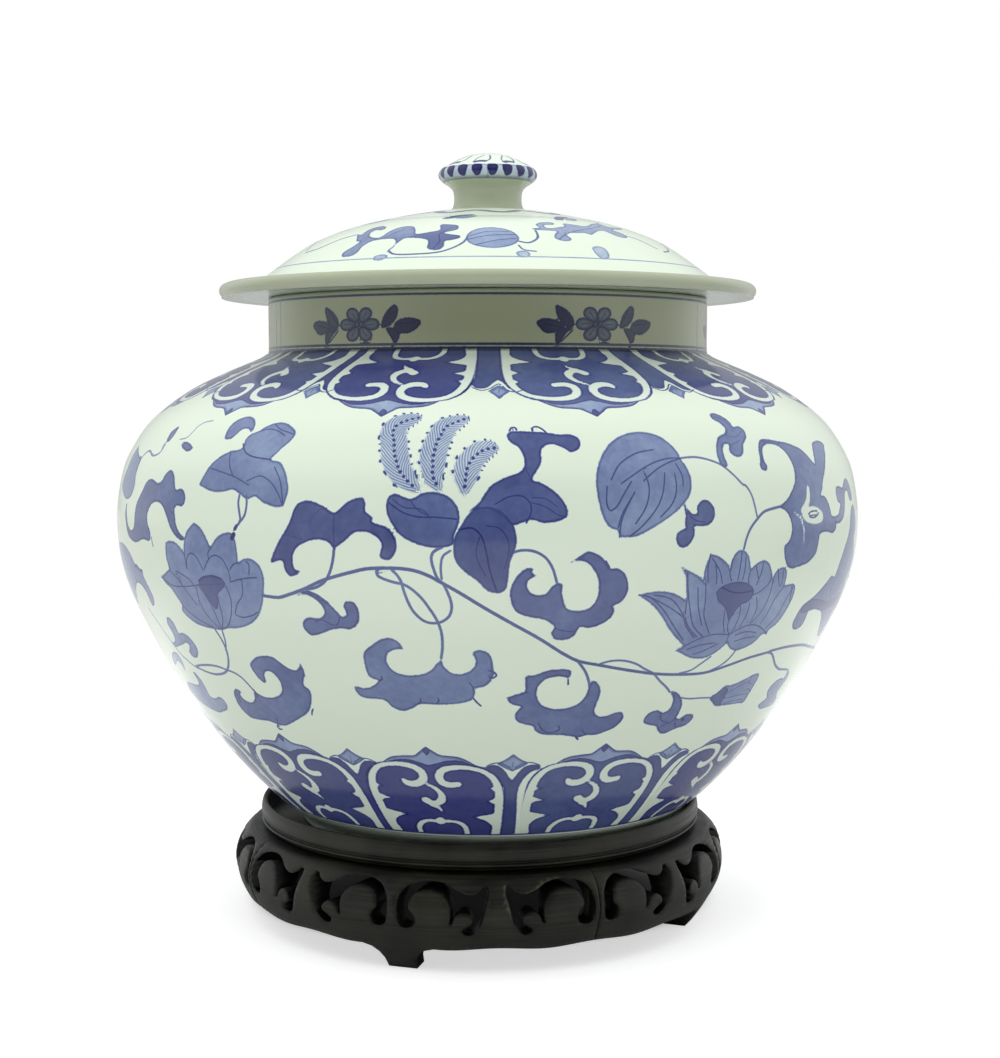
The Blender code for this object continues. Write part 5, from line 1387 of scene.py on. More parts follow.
def build_body(material):
    """The jar from its hollow over the lip, down the painted wall and under the foot."""
    outline = half_plane("jar_body")
    top = outline[:, 1].max()
    on_top = outline[outline[:, 1] > top - same_place]
    inside, outside = split_outline(outline, (on_top[:, 0].max(), top))
    lip, wall = resampled(smoothed(inside), inner_step), smoothed(outside)
    lowest = int(np.argmin(wall[:, 1]))
    painted = resampled(wall[:lowest + 1], body_step)
    under = resampled(wall[lowest:], inner_step)
    rows = np.concatenate((lip[:-1], painted, under[1:]))
    arcs = arcs_of(painted)
    upright = int(np.argmax(painted[:, 0] > painted[lip_rows, 0] - same_place))
    lead = arcs[upright] - (top - painted[upright, 1])
    paint = Paint(body_columns, arcs - lead, painted[:, 0])
    paint_body(paint)
    mesh = grid_mesh("jar_body_surface", rows, body_columns, body_uv(arcs_of(rows)))
    put_paint(mesh, paint, len(lip) - 1, len(rows))
    # Painted shade with a cream tint on the neck, where the flange's shadow falls
    on_neck = (rows[:, 1] > neck_foot) & (rows[:, 0] > neck_inside)
    set_attribute(mesh, "cream_and_shade", np.repeat(np.where(on_neck, 1.0, 0.0), body_columns))
    return shown("jar_body_surface", mesh, material, "jar", ("jar_body",))


def build_lid(material):
    """The lid from the top of its knob over the dome and the flange, and back under it."""
    outline = smoothed(half_plane("jar_lid"))
    bottom = int(np.argmin(outline[:, 1]))
    upper, under = resampled(outline[:bottom + 1], lid_step), resampled(outline[bottom:], inner_step)
    arcs = arcs_of(upper)
    waist = np.where((upper[:, 1] < upper[0, 1] - knob_height) & (upper[:, 0] < knob_reach))[0]
    neck = waist[int(np.argmin(upper[waist, 0]))]
    foot = neck + int(np.argmax(upper[neck:, 0] > upper[neck, 0] + stem_flare))
    rim = int(np.argmax(upper[:neck, 0]))
    paint = Paint(lid_columns, arcs - arcs[foot], upper[:, 0])
    paint_dome(paint)
    paint_knob(paint, arcs[rim] - arcs[foot])
    rows = np.concatenate((upper, under[1:]))
    mesh = grid_mesh("jar_lid_surface", rows, lid_columns, polar_uv(arcs_of(rows)))
    put_paint(mesh, paint, 0, len(rows))
    below, above = stem_margins
    # Painted shade with a cream tint on the knob's stem and the flange's outer edge
    stem = (rows[:, 1] > upper[foot, 1] - below) & (rows[:, 1] < upper[rim, 1] - above)
    edge = np.where(rows[:, 1] < flange_level, rise(rows[:, 0], flange_from, flange_fade), 0)
    cream_and_shade = np.where(stem, stem_cream_and_shade, 0.0) + flange_cream_and_shade * edge
    set_attribute(mesh, "cream_and_shade", np.repeat(cream_and_shade, lid_columns))
    return shown("jar_lid_surface", mesh, material, "lid", ("jar_lid",))


# Stand, in millimetres. The face is laid flat: distance round from a foot or stem, distance down
apron_radius = 101.373
apron_wall = 9.5
quarter_count = 4
quarter_turn = full_turn / quarter_count
first_foot_turn = -18.6
wave = 0.65
joint_gap = 0.3
stand_shift = -3.4
edge_points = 44
side_points = 20
top_points = 110
# Spacing of the points of the face, and the least distance of loose points to an edge
sheet_step = 1.5
near_edge = 0.38
same_point = 1e-4
grid_edge_share = 1.6
hole_ring_shares = (0.5, 1.1)
border_ring_shares = (0.6, 1.2)
# Leaves lie a little lower than the rail and the stems: across from the stem and down from the top
leaf_depth = 0.8
leaf_from, leaf_to, leaf_fade = 8.0, 36.0, 3.0
leaf_low, leaf_low_fade = 24.0, 8.0
rail_low = 10.0
rail_thin, rail_thin_from = 4.0, 17.0
edge_round = 0.9
edge_round_share = 0.65
seat_strip = 0.5
back_swell, back_swell_drop = 3.6, 8.0
carving_sharp = 50.0
board_sharp = 40.0
# Painted shade on the wood: near the openings and on the back faces inside the apron
hole_shade, hole_shade_width = 0.4, 1.5
back_shade = 2.0
worn_width = 0.32
APRON_ROWS = (
    (93.47, 37.1), (95.2, 36.3), (96.8, 34.9), (98.2, 33.3), (99.4, 31.4), (100.3, 29.4), (101.0, 27.2),
    (101.35, 25), (101.37, 23.3), (101.1, 21), (100.4, 18.5), (99.4, 16), (98.33, 13.67), (97.3, 11.8),
    (96.3, 10.2), (94.07, 6.38), (91.44, 2.75), (89.6, 0),
)
edge_height = 10.2
# One half of a scroll unit: the opening between rail, stem, small curl and round leaf
OPENING = (
    (3.4, 5.2), (3.4, 5.2), (3.1, 8), (4.1, 12), (5.2, 16), (6.5, 20), (8.4, 23), (10.6, 24.1),
    (12.7, 23.3), (13, 21.7), (11.2, 20.4), (9.4, 19), (9.3, 17.4), (10.5, 15.8), (12.4, 15),
    (14.6, 15.5), (16.2, 17), (17, 19.2), (17, 19.2), (17.7, 19.3), (17.7, 19.3), (17.4, 16.5),
    (17.8, 13), (19.4, 10), (22.3, 7.8), (26.2, 7), (30, 7.7), (32.5, 9.8), (33.5, 12.8), (33.2, 15),
    (31.7, 16.6), (31, 18.6), (32, 20.8), (34.3, 21.7), (36.7, 20.7), (37.7, 18), (37.9, 13), (37, 9),
    (34, 5.4), (29.2, 3.5), (23.9, 3.1), (19.1, 4.4), (15.7, 6.4), (12.4, 7.9), (9.2, 8.3), (6.6, 7),
    (5.2, 5.3), (5.2, 5.3),
)
# Pale worn edges beside the middle stem in front, in the same measures
WORN_LINES = (
    ((3, 5), (3.6, 9), (4.4, 12.6), (4.9, 15.6)),
    ((10.4, 8.9), (13.6, 7.8), (16.4, 5.9), (19.6, 4.3), (24, 3.4)),
)
BOARD_ROWS = (
    (0, 39.8), (60, 39.8), (86.8, 39.8), (87.7, 40.3), (87.97, 41), (87.97, 46.2), (88.1, 47.1),
    (88.7, 47.8), (89.3, 47.9), (89.85, 47.4), (90.3, 46.2), (90.57, 44.6), (90.57, 42.8), (90.35, 41.7),
    (89.9, 41.1), (89.9, 41.1), (89.35, 40.9), (89.35, 40.9), (89.5, 40.5), (90.1, 40.3), (90.35, 39.9),
    (90.2, 39.4), (89.6, 39.1), (89.4, 39), (89.4, 39), (88.6, 38.6), (88.3, 38.2), (88.2, 37.8),
    (87.77, 37.4), (87.77, 37.4), (82, 37.4), (82, 37.4), (82, 32.8), (82, 32.8), (60, 32.8), (0, 32.8),
)
board_columns = 240
FOOT_SIDE = ((6.4, 1.0), (6.9, 0.62), (8.3, 0.34), (11.1, 0.12), (15.0, 0.0))


def face_line():
    """The apron's outer form in (radius, height), and how far each point lies down it."""
    line = smooth_line(APRON_ROWS, 4)
    return line, arcs_of(line)


def at_edge(across, edge_drop):
    """How far down the wavy lower edge lies."""
    from_stem = across / apron_radius - rad(quarter_turn / 4)
    return edge_drop - wave * math.cos(2 * math.tau * from_stem / rad(quarter_turn / 2))


def signed_gap(places, loop):
    """Distance of each place to a closed loop, negative inside it."""
    ends = np.roll(loop, -1, axis=0)
    gap = np.full(len(places), np.inf)
    odd = np.zeros(len(places), bool)
    for a, b in zip(loop, ends):
        run = b - a
        t = np.clip((places - a) @ run / max(run @ run, tiny), 0, 1)
        gap = np.minimum(gap, np.hypot(*(places - a - t[:, None] * run).T))
        if a[1] != b[1]:
            crossing = (a[1] > places[:, 1]) != (b[1] > places[:, 1])
            odd ^= crossing & (places[:, 0] < a[0] + (places[:, 1] - a[1]) / (b[1] - a[1]) * run[0])
    return np.where(odd, -gap, gap)


def quarter_plan():
    """Border, openings and stem of a quarter, laid flat from the foot's middle."""
    line, drops = face_line()
    edge_drop = float(np.interp(-edge_height, -line[:, 1], drops))
    half = rad(quarter_turn / 2) * apron_radius - joint_gap / 2
    stem = rad(quarter_turn / 4) * apron_radius
    right = []
    for x, down in FOOT_SIDE:
        edge = at_edge(x, edge_drop)
        right.append((x, edge + down * (drops[-1] - edge)))
    right += [(x, at_edge(x, edge_drop)) for x in np.linspace(FOOT_SIDE[-1][0], half, edge_points)[1:]]
    right += [(half, edge_drop * share) for share in np.linspace(1, 0, side_points)[1:-1]]
    top = [(x, 0.0) for x in np.linspace(half, -half, top_points)]
    border = right + top + [(-x, y) for x, y in right[::-1]]
    openings = []
    for at in (-stem, stem):
        for side in (-1, 1):
            openings.append(smooth_line(OPENING, 3, closed=True)[:-1] * (side, 1) + (at, 0))
    return np.array(border), openings, stem


def gap_to_holes(places, openings):
    """Distance of each place to the nearest opening, negative inside one."""
    return np.min([signed_gap(places, loop) for loop in openings], axis=0)


def sheet_points(border, openings):
    """Loose points of the flat face: rings that follow its edges, and an even grid between them."""
    low, high = border.min(0), border.max(0)
    xs = np.arange(low[0] + sheet_step, high[0], sheet_step)
    ys = np.arange(sheet_step, high[1], sheet_step)
    grid = np.array([(x + (j % 2) * sheet_step / 2, y) for j, y in enumerate(ys) for x in xs])
    rings = []
    for loops, shares in ((openings, hole_ring_shares), ((border,), border_ring_shares)):
        for loop in loops:
            rings += [grown(loop, side * edge_round * share) for side in (-1, 1) for share in shares]
    rings = np.concatenate([ring[::2] for ring in rings])
    rings = rings[(gap_to_holes(rings, openings) > near_edge) & (signed_gap(rings, border) < -near_edge)]
    edge = edge_round * grid_edge_share
    grid = grid[(gap_to_holes(grid, openings) > edge) & (signed_gap(grid, border) < -edge)]
    return np.concatenate((rings, grid))


def sheet_of(border, openings):
    """Points and triangles of the flat face, and the points' distances to the openings and the border."""
    points, edges = [], []
    for loop in (border, *openings):
        start = len(points)
        points += [Vector(p) for p in loop]
        edges += [(start + i, start + (i + 1) % len(loop)) for i in range(len(loop))]
    points += [Vector(p) for p in sheet_points(border, openings)]
    flat, _, triangles, *_ = delaunay_2d_cdt(points, edges, [], 0, same_point)
    flat = np.array([tuple(p) for p in flat])
    triangles = np.array([list(t) for t in triangles])
    middle = flat[triangles].mean(1)
    kept = (signed_gap(middle, border) < 0) & (gap_to_holes(middle, openings) > 0)
    hole = np.maximum(gap_to_holes(flat, openings), 0)
    return flat, triangles[kept].tolist(), hole, abs(signed_gap(flat, border))


def faces_of(flat, triangles):
    """Faces of a slab: front, back and the walls along every open edge."""
    count = len(flat)
    sides = {(a, b) for t in triangles for a, b in zip(t, t[1:] + t[:1])}
    faces = [tuple(t) for t in triangles] + [tuple(i + count for i in reversed(t)) for t in triangles]
    return faces + [(a + count, b + count, b, a) for a, b in sides if (b, a) not in sides]


def grown(loop, by):
    """The closed loop moved outwards."""
    along = np.roll(loop, -1, axis=0) - np.roll(loop, 1, axis=0)
    along /= np.maximum(np.linalg.norm(along, axis=1), tiny)[:, None]
    return loop + by * np.stack((along[:, 1], -along[:, 0]), 1)


def carving_depth(flat, hole, rim, stem):
    """How far the face lies below the turned form: the leaves' depth and the rounding of all edges."""
    across, down = abs(abs(flat[:, 0]) - stem), flat[:, 1]
    in_leaf = rise(across, leaf_from, leaf_fade) * rise(-across, -leaf_to, leaf_fade)
    in_leaf *= rise(-down, -leaf_low, leaf_low_fade)
    in_leaf *= down > rail_low - rail_thin * rise(across, rail_thin_from, rail_thin)
    depth = leaf_depth * in_leaf
    for gap in (hole, np.where(down > seat_strip, rim, far)):
        depth = depth + edge_round_share * edge_round * np.clip(1 - gap / edge_round, 0, 1) ** 2
    return depth


def wear(flat, stem):
    """1 on the pale worn lines and 0 away from them."""
    gap = np.full(len(flat), far)
    for points in WORN_LINES:
        for a, b in zip(points, points[1:]):
            start, run = np.add(a, (stem, 0)), np.subtract(b, a)
            t = np.clip((flat - start) @ run / (run @ run), 0, 1)
            gap = np.minimum(gap, np.hypot(*(flat - start - t[:, None] * run).T))
    return np.clip(1 - gap / (2 * worn_width), 0, 1)


def carved_quarters(material):
    """The four pierced quarters of the apron."""
    border, openings, stem = quarter_plan()
    flat, triangles, hole, rim = sheet_of(border, openings)
    faces = faces_of(flat, triangles)
    line, drops = face_line()
    outer = np.interp(flat[:, 1], drops, line[:, 0])
    height = np.interp(flat[:, 1], drops, line[:, 1])
    front = outer - carving_depth(flat, hole, rim, stem)
    swell = np.clip(1 - abs(flat[:, 1] - back_swell_drop) / back_swell_drop, 0, 1)
    back = outer - apron_wall - back_swell * swell
    plain = np.zeros(len(flat))
    # Painted shade: the wood darker along the openings and on the back faces, inside the apron
    shade = np.concatenate((hole_shade * np.clip(1 - hole / hole_shade_width, 0, 1), plain + back_shade))
    for index in range(quarter_count):
        turn = rad(first_foot_turn + quarter_turn * index) + flat[:, 0] / apron_radius
        ring = np.stack((np.sin(turn), -np.cos(turn)), 1)
        places = np.concatenate([np.column_stack((ring * r[:, None], height)) for r in (front, back)])
        places[:, 0] += stand_shift
        name = f"carved_quarter_{index + 1}"
        mesh = bpy.data.meshes.new(name)
        mesh.from_pydata((places * mm).tolist(), [], faces)
        mesh.shade_smooth()
        mesh.set_sharp_from_angle(angle=rad(carving_sharp))
        worn = wear(flat, stem) if index == 0 else plain
        set_attribute(mesh, "worn", np.concatenate((worn, plain)))
        set_attribute(mesh, "shade", shade)
        shown(name, mesh, material, "stand", (f"apron_quarter_{index + 1}",))


def build_stand(material):
    """The carved apron, and the turned board on it."""
    carved_quarters(material)
    rows = smooth_line(BOARD_ROWS, 3)
    mesh = grid_mesh("turned_board", rows, board_columns, polar_uv(arcs_of(rows)))
    places = np.empty(len(mesh.vertices) * 3)
    mesh.vertices.foreach_get("co", places)
    places[0::3] += stand_shift * mm
    mesh.vertices.foreach_set("co", places)
    mesh.set_sharp_from_angle(angle=rad(board_sharp))
    shown("turned_board", mesh, material, "stand", ("top_board",))


# Colours, as they are named on screen
GLAZE = (223, 234, 217)
# Cream tint that also darkens the glaze as painted shade
CREAM_AND_SHADE = (180, 176, 158)
INK_STEPS = (
    (0.0, GLAZE), (0.18, (186, 199, 208)), (0.34, (143, 160, 192)), (0.48, (112, 127, 168)),
    (0.6, (90, 103, 149)), (0.74, (69, 79, 128)), (0.88, (57, 58, 125)), (1.0, (30, 28, 84)),
)
WOOD_DARK = (5, 5, 3)
WOOD_LIGHT = (38, 38, 28)
WOOD_WORN = (84, 80, 62)
# Glaze: noise scales per millimetre, and edges in millimetres from the outline of what is painted
pool_scale, pool_spread = 0.055, 0.62
streak_scale, streak_spread = 0.33, 0.42
wobble_scale, wobble_size = 0.9, 0.5
ripple_scale = 0.16
soft_edge = 0.3
dark_rim = (-1.0, -0.45)
wash_rim, wash_spread = 0.17, 0.42
deep_rim, deep_spread = 0.08, 0.3
bare_tone = 0.04
bare_rim = (0.5, 1.1)
bare_rim_depth = 0.1
bare_rim_tones = (0.3, 0.6)
line_edge = (-0.16, 0.2)
line_wobble, line_spread = 0.35, 0.3
line_reach = 0.62
# Plumes: edges and sizes of barbs, dots and beads in millimetres, and their tones
plume_edge = (-0.9, 0.1)
barb_edge = (0.03, 0.32)
barb_tones = (0.5, 0.2)
barb_waver = 3.0
dot_size, dot_tone = 0.55, 0.8
bead_size, bead_tone = 0.68, 0.84
spot_edge = (-0.25, 0.2)
plume_apart = 1.2
least_plume = 0.8
# Wood: how the grain's noise is drawn out, per millimetre, and shares of its tone
GRAIN_STRETCH = (0.05, 0.05, 1.3)
TURNING_STRETCH = (0.004, 0.004, 1.7)
blotch_scale = 0.045
grain_share = 0.62
shade_depth = 0.2
wood_tones = (0.41, 0.59)
rough_grain = (0.35, 0.65)
rough_range = (0.38, 0.54)
# Bumps: how strong they are, and how deep in metres
GLAZE_BUMP = (0.05, 0.0004)
WOOD_BUMP = (0.3, 0.0003)


def linear(colour):
    """A colour named on screen, as light."""
    out = []
    for c in colour:
        c = c / 255
        out.append(c / 12.92 if c <= 0.04045 else ((c + 0.055) / 1.055) ** 2.4)
    return (*out, 1.0)


class Graph:
    """Short names for the shader nodes of a material or of the world."""

    def __init__(self, owner):
        owner.use_nodes = True
        self.nodes, self.links = owner.node_tree.nodes, owner.node_tree.links

    def put(self, socket, value):
        """Links a socket to an output, or gives it a value."""
        if isinstance(value, bpy.types.NodeSocket):
            self.links.new(value, socket)
        else:
            socket.default_value = value

    def add(self, kind, out=0, **inputs):
        """An output of a new node. i0, i1 and so on are its sockets, other names its settings."""
        node = self.nodes.new(kind)
        for key, value in inputs.items():
            if key[1:].isdigit():
                self.put(node.inputs[int(key[1:])], value)
            else:
                setattr(node, key, value)
        return node.outputs[out]

    def surface(self, inputs):
        """Gives the surface shader its inputs by name."""
        for name, value in inputs.items():
            self.put(self.nodes["Principled BSDF"].inputs[name], value)

    def math(self, operation, a, b=0.0, clamp=False):
        return self.add("ShaderNodeMath", operation=operation, use_clamp=clamp, i0=a, i1=b)

    def vector_math(self, operation, a, b=(0.0, 0.0, 0.0)):
        out = "Value" if operation == "LENGTH" else "Vector"
        return self.add("ShaderNodeVectorMath", out, operation=operation, i0=a, i1=b)

    def length(self, a, b):
        squares = self.math("ADD", self.math("MULTIPLY", a, a), self.math("MULTIPLY", b, b))
        return self.math("SQRT", squares)

    def parts(self, vector):
        """The three numbers of a vector."""
        node = self.nodes.new("ShaderNodeSeparateXYZ")
        self.links.new(vector, node.inputs[0])
        return node.outputs

    def attribute(self, name, vector=False):
        return self.add("ShaderNodeAttribute", "Vector" if vector else "Fac", attribute_name=name)

    def ramp(self, value, low, high, from_value, to_value):
        """A soft step: from_value below low, to_value above high."""
        return self.add("ShaderNodeMapRange", interpolation_type="SMOOTHSTEP", i0=value, i1=low, i2=high,
                        i3=from_value, i4=to_value)

    def noise(self, place, scale, detail=2.0, roughness=0.5):
        return self.add("ShaderNodeTexNoise", i0=place, i2=scale, i3=detail, i4=roughness)

    def bump(self, strength, depth, height):
        return self.add("ShaderNodeBump", i0=strength, i1=depth, i3=height)

    def mixed(self, share, a, b, blend="MIX"):
        """Colour a with a share of colour b."""
        return self.add("ShaderNodeMix", 2, data_type="RGBA", blend_type=blend, i0=share, i6=a, i7=b)

    def colours(self, value, steps):
        """A colour from steps of (value, colour)."""
        node = self.nodes.new("ShaderNodeValToRGB")
        self.links.new(value, node.inputs[0])
        elements = node.color_ramp.elements
        while len(elements) < len(steps):
            elements.new(0.5)
        for element, (at, colour) in zip(elements, steps):
            element.position = at
            element.color = linear(colour)
        return node.outputs[0]


def millimetres(g):
    """The place on the object, in millimetres."""
    place = g.add("ShaderNodeTexCoord", "Object")
    return g.add("ShaderNodeVectorMath", operation="SCALE", i0=place, i3=1 / mm)


def plume_ink(g, uneven, wobble):
    """Fine barbs that sweep forward from a plume's middle line, dots at their ends and a row of beads."""
    along, sided, half = g.parts(g.attribute("plume", vector=True))
    out = g.math("ABSOLUTE", sided)

    def swept(reached):
        """Place on the middle line from which the barb starts that passes here."""
        start = g.math("SUBTRACT", along, g.math("MULTIPLY", reached, 1 / math.tan(rad(barb_turn))))
        start = g.math("ADD", start, g.math("MULTIPLY", g.math("SIGN", sided), barb_gap / 4))
        return g.math("ADD", start, g.math("MULTIPLY", uneven, barb_waver))

    def beside(place, gap):
        """Distance to the nearest of many even marks."""
        share = g.math("FRACT", g.math("DIVIDE", place, gap))
        return g.math("MULTIPLY", g.math("ABSOLUTE", g.math("SUBTRACT", share, 0.5)), gap)

    def spot(a, b, size, tone):
        inner, outer = (size + edge for edge in spot_edge)
        return g.ramp(g.math("ADD", g.length(a, b), wobble), inner, outer, tone, 0.0)

    past_end = g.math("SUBTRACT", out, half)
    inside = g.ramp(g.math("ADD", past_end, wobble), *plume_edge, 1.0, 0.0)
    barb = g.math("MULTIPLY", beside(swept(out), barb_gap), math.sin(rad(barb_turn)))
    barb = g.math("ADD", g.ramp(barb, *barb_edge, *barb_tones), g.math("MULTIPLY", uneven, line_spread))
    dot = spot(beside(g.math("ADD", swept(half), barb_gap / 2), 2 * barb_gap), past_end, dot_size, dot_tone)
    bead = spot(beside(along, bead_gap), out, bead_size, bead_tone)
    marks = g.math("MAXIMUM", g.math("MULTIPLY", barb, inside), g.math("MAXIMUM", dot, bead))
    between = g.math("GREATER_THAN", g.math("SUBTRACT", g.attribute("plume_gap"), out), plume_apart)
    marks = g.math("MULTIPLY", marks, g.math("SUBTRACT", 1.0, between))
    return g.math("MULTIPLY", marks, g.math("GREATER_THAN", half, least_plume))


def wash_ink(g, name, uneven, wobble, rim_depth, spread):
    """A wash with a soft edge, darker along it, from its distance and its tone."""
    gap = g.math("ADD", g.attribute(name), wobble)
    body = g.ramp(gap, -soft_edge, soft_edge, 1.0, 0.0)
    tone = g.math("ADD", g.attribute(name + "_tone"), g.math("MULTIPLY", uneven, spread))
    return g.math("MULTIPLY", g.math("ADD", tone, g.ramp(gap, *dark_rim, 0.0, rim_depth)), body)


def line_ink(g, k, uneven, wobble):
    """The brush lines of one layer, from the offset to their middle line."""
    across, down, half = g.parts(g.attribute(f"line_{k}", vector=True))
    over = g.math("SUBTRACT", g.length(across, down), half)
    body = g.ramp(g.math("ADD", over, g.math("MULTIPLY", wobble, line_wobble)), *line_edge, 1.0, 0.0)
    close = g.math("LESS_THAN", g.math("SUBTRACT", g.attribute(f"near_{k}"), half), line_reach)
    tone = g.math("ADD", g.attribute(f"line_tone_{k}"), g.math("MULTIPLY", uneven, line_spread))
    return g.math("MULTIPLY", g.math("MULTIPLY", body, close), tone)


def painted_glaze():
    """White glaze over cobalt: washes with dark edges, bare reserves and fine brush lines."""
    material = bpy.data.materials.new("painted_porcelain")
    g = Graph(material)
    place = millimetres(g)
    pool = g.math("SUBTRACT", g.noise(place, pool_scale, 3.0), 0.5)
    streak = g.math("SUBTRACT", g.noise(place, streak_scale, 3.0, 0.6), 0.5)
    uneven = g.math("ADD", g.math("MULTIPLY", pool, pool_spread), g.math("MULTIPLY", streak, streak_spread))
    wobble = g.math("SUBTRACT", g.noise(place, wobble_scale, 1.0), 0.5)
    wobble = g.math("MULTIPLY", wobble, wobble_size)
    wash = wash_ink(g, "wash", uneven, wobble, wash_rim, wash_spread)
    deep = wash_ink(g, "deep", uneven, wobble, deep_rim, deep_spread)
    beside_bare = g.ramp(g.attribute("bare"), *bare_rim, bare_rim_depth, 0.0)
    beside_bare = g.math("MULTIPLY", beside_bare, g.ramp(deep, *bare_rim_tones, 0.0, 1.0))
    paint = g.math("MAXIMUM", wash, g.math("ADD", deep, beside_bare))
    bare = g.ramp(g.math("ADD", g.attribute("bare"), wobble), -soft_edge, soft_edge, bare_tone, 1.0)
    paint = g.math("MULTIPLY", paint, bare)
    for k in range(line_layers):
        paint = g.math("MAXIMUM", paint, line_ink(g, k, uneven, wobble), clamp=True)
    paint = g.math("MAXIMUM", paint, plume_ink(g, uneven, wobble), clamp=True)
    # Cream tint and painted shade multiplied into the glaze's colour
    colour = g.mixed(g.attribute("cream_and_shade"), g.colours(paint, INK_STEPS), linear(CREAM_AND_SHADE), "MULTIPLY")
    ripple = g.bump(*GLAZE_BUMP, g.noise(place, ripple_scale, 2.0))
    g.surface({"Base Color": colour, "Normal": ripple, "Roughness": 0.15, "IOR": 1.5})
    return material


def dark_wood():
    """Nearly black stained hardwood with a fine grain round the stand, paler on worn edges, and darker as
    painted shade where the shade attribute says.
    """
    material = bpy.data.materials.new("stained_wood")
    g = Graph(material)
    place = millimetres(g)
    grain = g.noise(g.vector_math("MULTIPLY", place, GRAIN_STRETCH), 1.0, 5.0, 0.65)
    turned = g.noise(g.vector_math("MULTIPLY", place, TURNING_STRETCH), 1.0, 3.0, 0.7)
    grain = g.math("ADD", g.math("MULTIPLY", grain, 0.5), g.math("MULTIPLY", turned, 0.5))
    blotch = g.math("MULTIPLY", g.noise(place, blotch_scale, 2.0), 1 - grain_share)
    tone = g.math("ADD", g.math("MULTIPLY", grain, grain_share), blotch)
    # Painted shade darkens the wood where the shade attribute says
    tone = g.math("SUBTRACT", tone, g.math("MULTIPLY", g.attribute("shade"), shade_depth))
    colour = g.colours(tone, list(zip(wood_tones, (WOOD_DARK, WOOD_LIGHT))))
    colour = g.mixed(g.attribute("worn"), colour, linear(WOOD_WORN))
    bump = g.bump(*WOOD_BUMP, grain)
    rough = g.ramp(grain, *rough_grain, *rough_range)
    g.surface({"Base Color": colour, "Normal": bump, "Roughness": rough, "Specular IOR Level": 0.3})
    return material


def give(node, material):
    """A finish for a CAD node that is still shown."""
    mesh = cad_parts[node].data
    mesh.materials.clear()
    mesh.materials.append(material)


# Light and backdrop, in metres
WHITE = (1.0, 1.0, 1.0)
# Lamps: place, target, size and power in watts
LAMPS = {
    "top_front": ((-0.15, -0.75, 1.25), (0.0, 0.0, 0.16), (0.8, 0.8), 6.2),
    "top": ((0.0, 0.15, 1.3), (0.0, 0.0, 0.25), (0.9, 0.9), 6.0),
    "low_front": ((-0.1, -1.1, 0.12), (0.0, 0.0, 0.05), (1.4, 0.2), 1.0),
}
# Floor: half its width, how it glows and how pale it is, painted dark in an oval under the stand as painted
# shade
floor_half = 3.0
floor_roughness = 0.8
floor_glow = 0.6
floor_painted_shade, floor_pale = 0.15, 0.75
dim_middle = (-0.0034, 0.02, 0.0)
dim_size = (0.095, 0.078, 1.0)
dim_edge = (0.88, 1.08)
# Its mirror image in the glaze fades in away from the stand, counted in ovals, and out far off
mirror_fade = (1.2, 4.5)
far_mirror = 0.3
far_fade = (0.3, 0.7)
# Tent: its glow on each side, and from where to where each glow rises with the direction
TENT_TINT = (0.92, 0.95, 0.93, 1.0)
tent_front, tent_left, tent_right, tent_top, tent_back = 0.04, 0.85, 0.95, 0.4, 0.5
to_side, to_top, to_back = (0.2, 0.98), (0.15, 0.95), (0.0, 1.0)


def area_light(name, place, target, size, power):
    """A soft lamp that leaves no patch in the glaze."""
    light = bpy.data.lights.new(name, "AREA")
    light.shape = "RECTANGLE"
    light.size, light.size_y = size
    light.energy = power
    light.color = WHITE
    ob = bpy.data.objects.new(name, light)
    ob.location = place
    ob.rotation_euler = (Vector(target) - Vector(place)).to_track_quat("-Z", "Y").to_euler()
    ob.visible_glossy = False
    bpy.context.scene.collection.objects.link(ob)


def background():
    """White where the camera looks past the object. Round it a soft tent, dimmer on the camera's side."""
    world = bpy.data.worlds.new("studio")
    bpy.context.scene.world = world
    g = Graph(world)
    x, y, z = g.parts(g.add("ShaderNodeTexCoord", "Generated"))
    to_left = g.math("MULTIPLY", x, -1.0)
    tent = g.math("ADD", tent_front, g.ramp(to_left, *to_side, 0.0, tent_left))
    for way, span, glow in ((x, to_side, tent_right), (z, to_top, tent_top), (y, to_back, tent_back)):
        tent = g.math("ADD", tent, g.ramp(way, *span, 0.0, glow))
    base = g.nodes["Background"]
    g.put(base.inputs[0], TENT_TINT)
    g.put(base.inputs[1], tent)
    path = g.nodes.new("ShaderNodeLightPath").outputs
    straight = g.math("MAXIMUM", path["Is Camera Ray"], path["Is Transmission Ray"])
    white = g.add("ShaderNodeBackground", i0=(*WHITE, 1.0))
    mix = g.add("ShaderNodeMixShader", i0=straight, i1=base.outputs[0], i2=white)
    g.links.new(mix, g.nodes["World Output"].inputs[0])


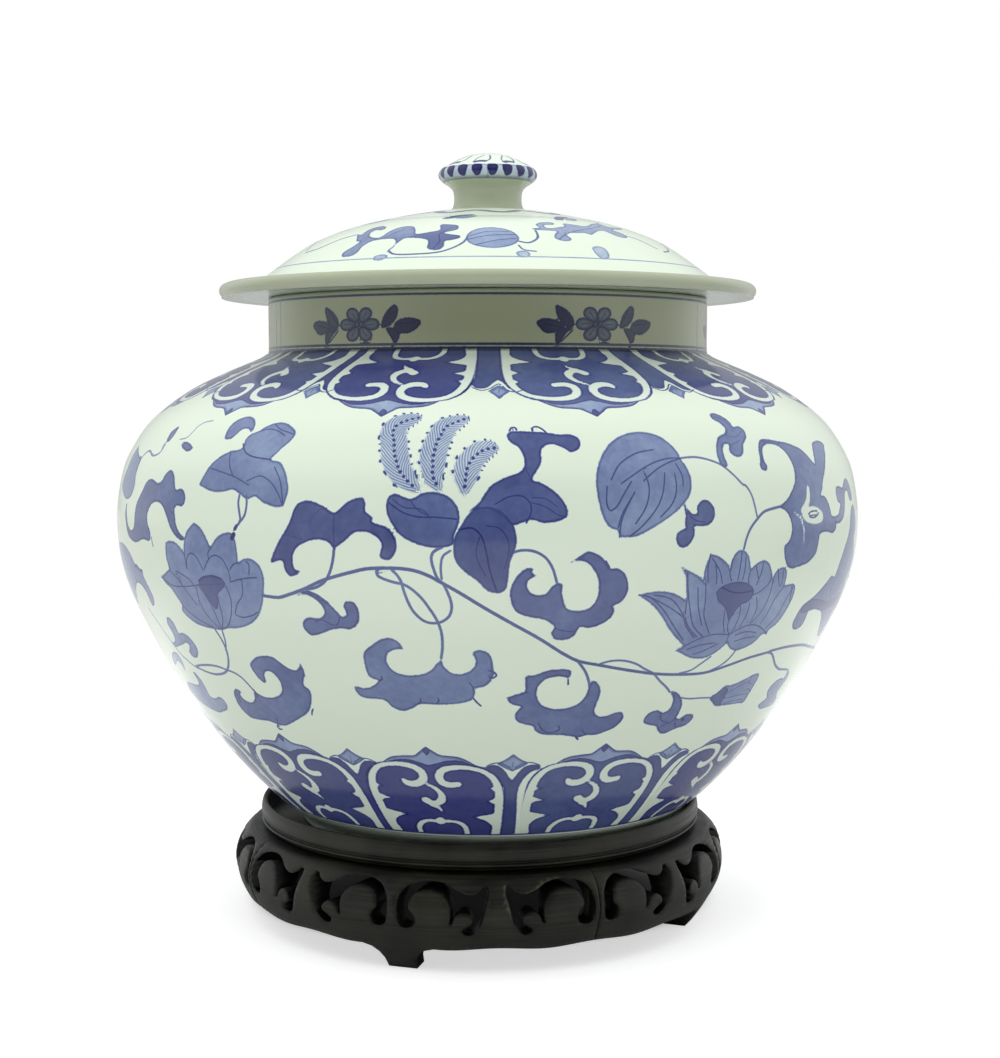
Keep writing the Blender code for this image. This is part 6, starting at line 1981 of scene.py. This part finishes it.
def floor_material():
    """Pale, and white where the camera sees it, but painted dark under the stand as painted shade."""
    material = bpy.data.materials.new("floor")
    g = Graph(material)
    path = g.nodes.new("ShaderNodeLightPath").outputs
    from_camera, from_glaze = path["Is Camera Ray"], path["Is Glossy Ray"]
    place = g.add("ShaderNodeTexCoord", "Object")
    away = g.vector_math("LENGTH", place)
    ovals = g.vector_math("DIVIDE", g.vector_math("SUBTRACT", place, dim_middle), dim_size)
    ovals = g.vector_math("LENGTH", ovals)
    # Painted shade: the floor's colour is dark in the oval under the stand
    pale = g.ramp(ovals, *dim_edge, floor_painted_shade, floor_pale)
    grey = g.add("ShaderNodeCombineXYZ", i0=pale, i1=pale, i2=pale)
    g.surface({"Base Color": grey, "Roughness": floor_roughness})
    glow = g.math("MULTIPLY", from_camera, g.ramp(ovals, *dim_edge, 0.0, floor_glow))
    mirrored = g.ramp(ovals, *mirror_fade, 0.0, floor_glow)
    mirrored = g.math("MULTIPLY", mirrored, g.ramp(away, *far_fade, 1.0, far_mirror))
    mirrored = g.math("MULTIPLY", from_glaze, mirrored)
    glow = g.add("ShaderNodeEmission", i1=g.math("MAXIMUM", glow, mirrored))
    near = g.add("ShaderNodeAddShader", i0=g.nodes["Principled BSDF"].outputs[0], i1=glow)
    seen = g.math("MAXIMUM", from_camera, g.math("MULTIPLY", from_glaze, far_mirror))
    far_share = g.math("MULTIPLY", seen, g.ramp(away, *far_fade, 0.0, 1.0))
    mix = g.add("ShaderNodeMixShader", i0=far_share, i1=near, i2=g.add("ShaderNodeEmission"))
    g.links.new(mix, g.nodes["Material Output"].inputs[0])
    return material


def floor():
    """The plain floor that the object stands on."""
    mesh = bpy.data.meshes.new("floor")
    corners = [(x * floor_half, y * floor_half, 0) for x, y in ((-1, -1), (1, -1), (1, 1), (-1, 1))]
    mesh.from_pydata(corners, [], [(0, 1, 2, 3)])
    mesh.materials.append(floor_material())
    ob = bpy.data.objects.new("floor", mesh)
    bpy.context.scene.collection.objects.link(ob)
    ob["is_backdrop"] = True


def camera():
    """The photograph's camera, turned so that the jar's axis stands where the photograph has it."""
    data = bpy.data.cameras.new("camera")
    data.sensor_fit = "VERTICAL" if picture_height_px > picture_width_px else "HORIZONTAL"
    data.sensor_width = sensor_width
    data.sensor_height = sensor_width
    data.lens = focal_px / picture_height_px * sensor_width
    ob = bpy.data.objects.new("camera", data)
    turn = -math.atan((picture_width_px / 2 - axis_px) / focal_px)
    ob.location = (0.0, -camera_distance, camera_height)
    ob.rotation_euler = (math.pi / 2 - camera_pitch, 0.0, turn)
    bpy.context.scene.collection.objects.link(ob)
    bpy.context.scene.camera = ob


def build():
    """The painted jar, its stand, the keys and pins as in CAD, floor, light and camera."""
    porcelain, wood = painted_glaze(), dark_wood()
    build_body(porcelain)
    build_lid(porcelain)
    build_stand(wood)
    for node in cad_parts:
        if node.startswith(("joint_key", "board_pin")):
            give(node, wood)
    floor()
    for name, lamp in LAMPS.items():
        area_light(name, *lamp)
    background()
    camera()


build()
bpy.context.scene.view_settings.view_transform = "Standard"
bpy.context.view_layer.update()
size_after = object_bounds()
[[list(corner) for corner in size] for size in (size_before, size_after)]
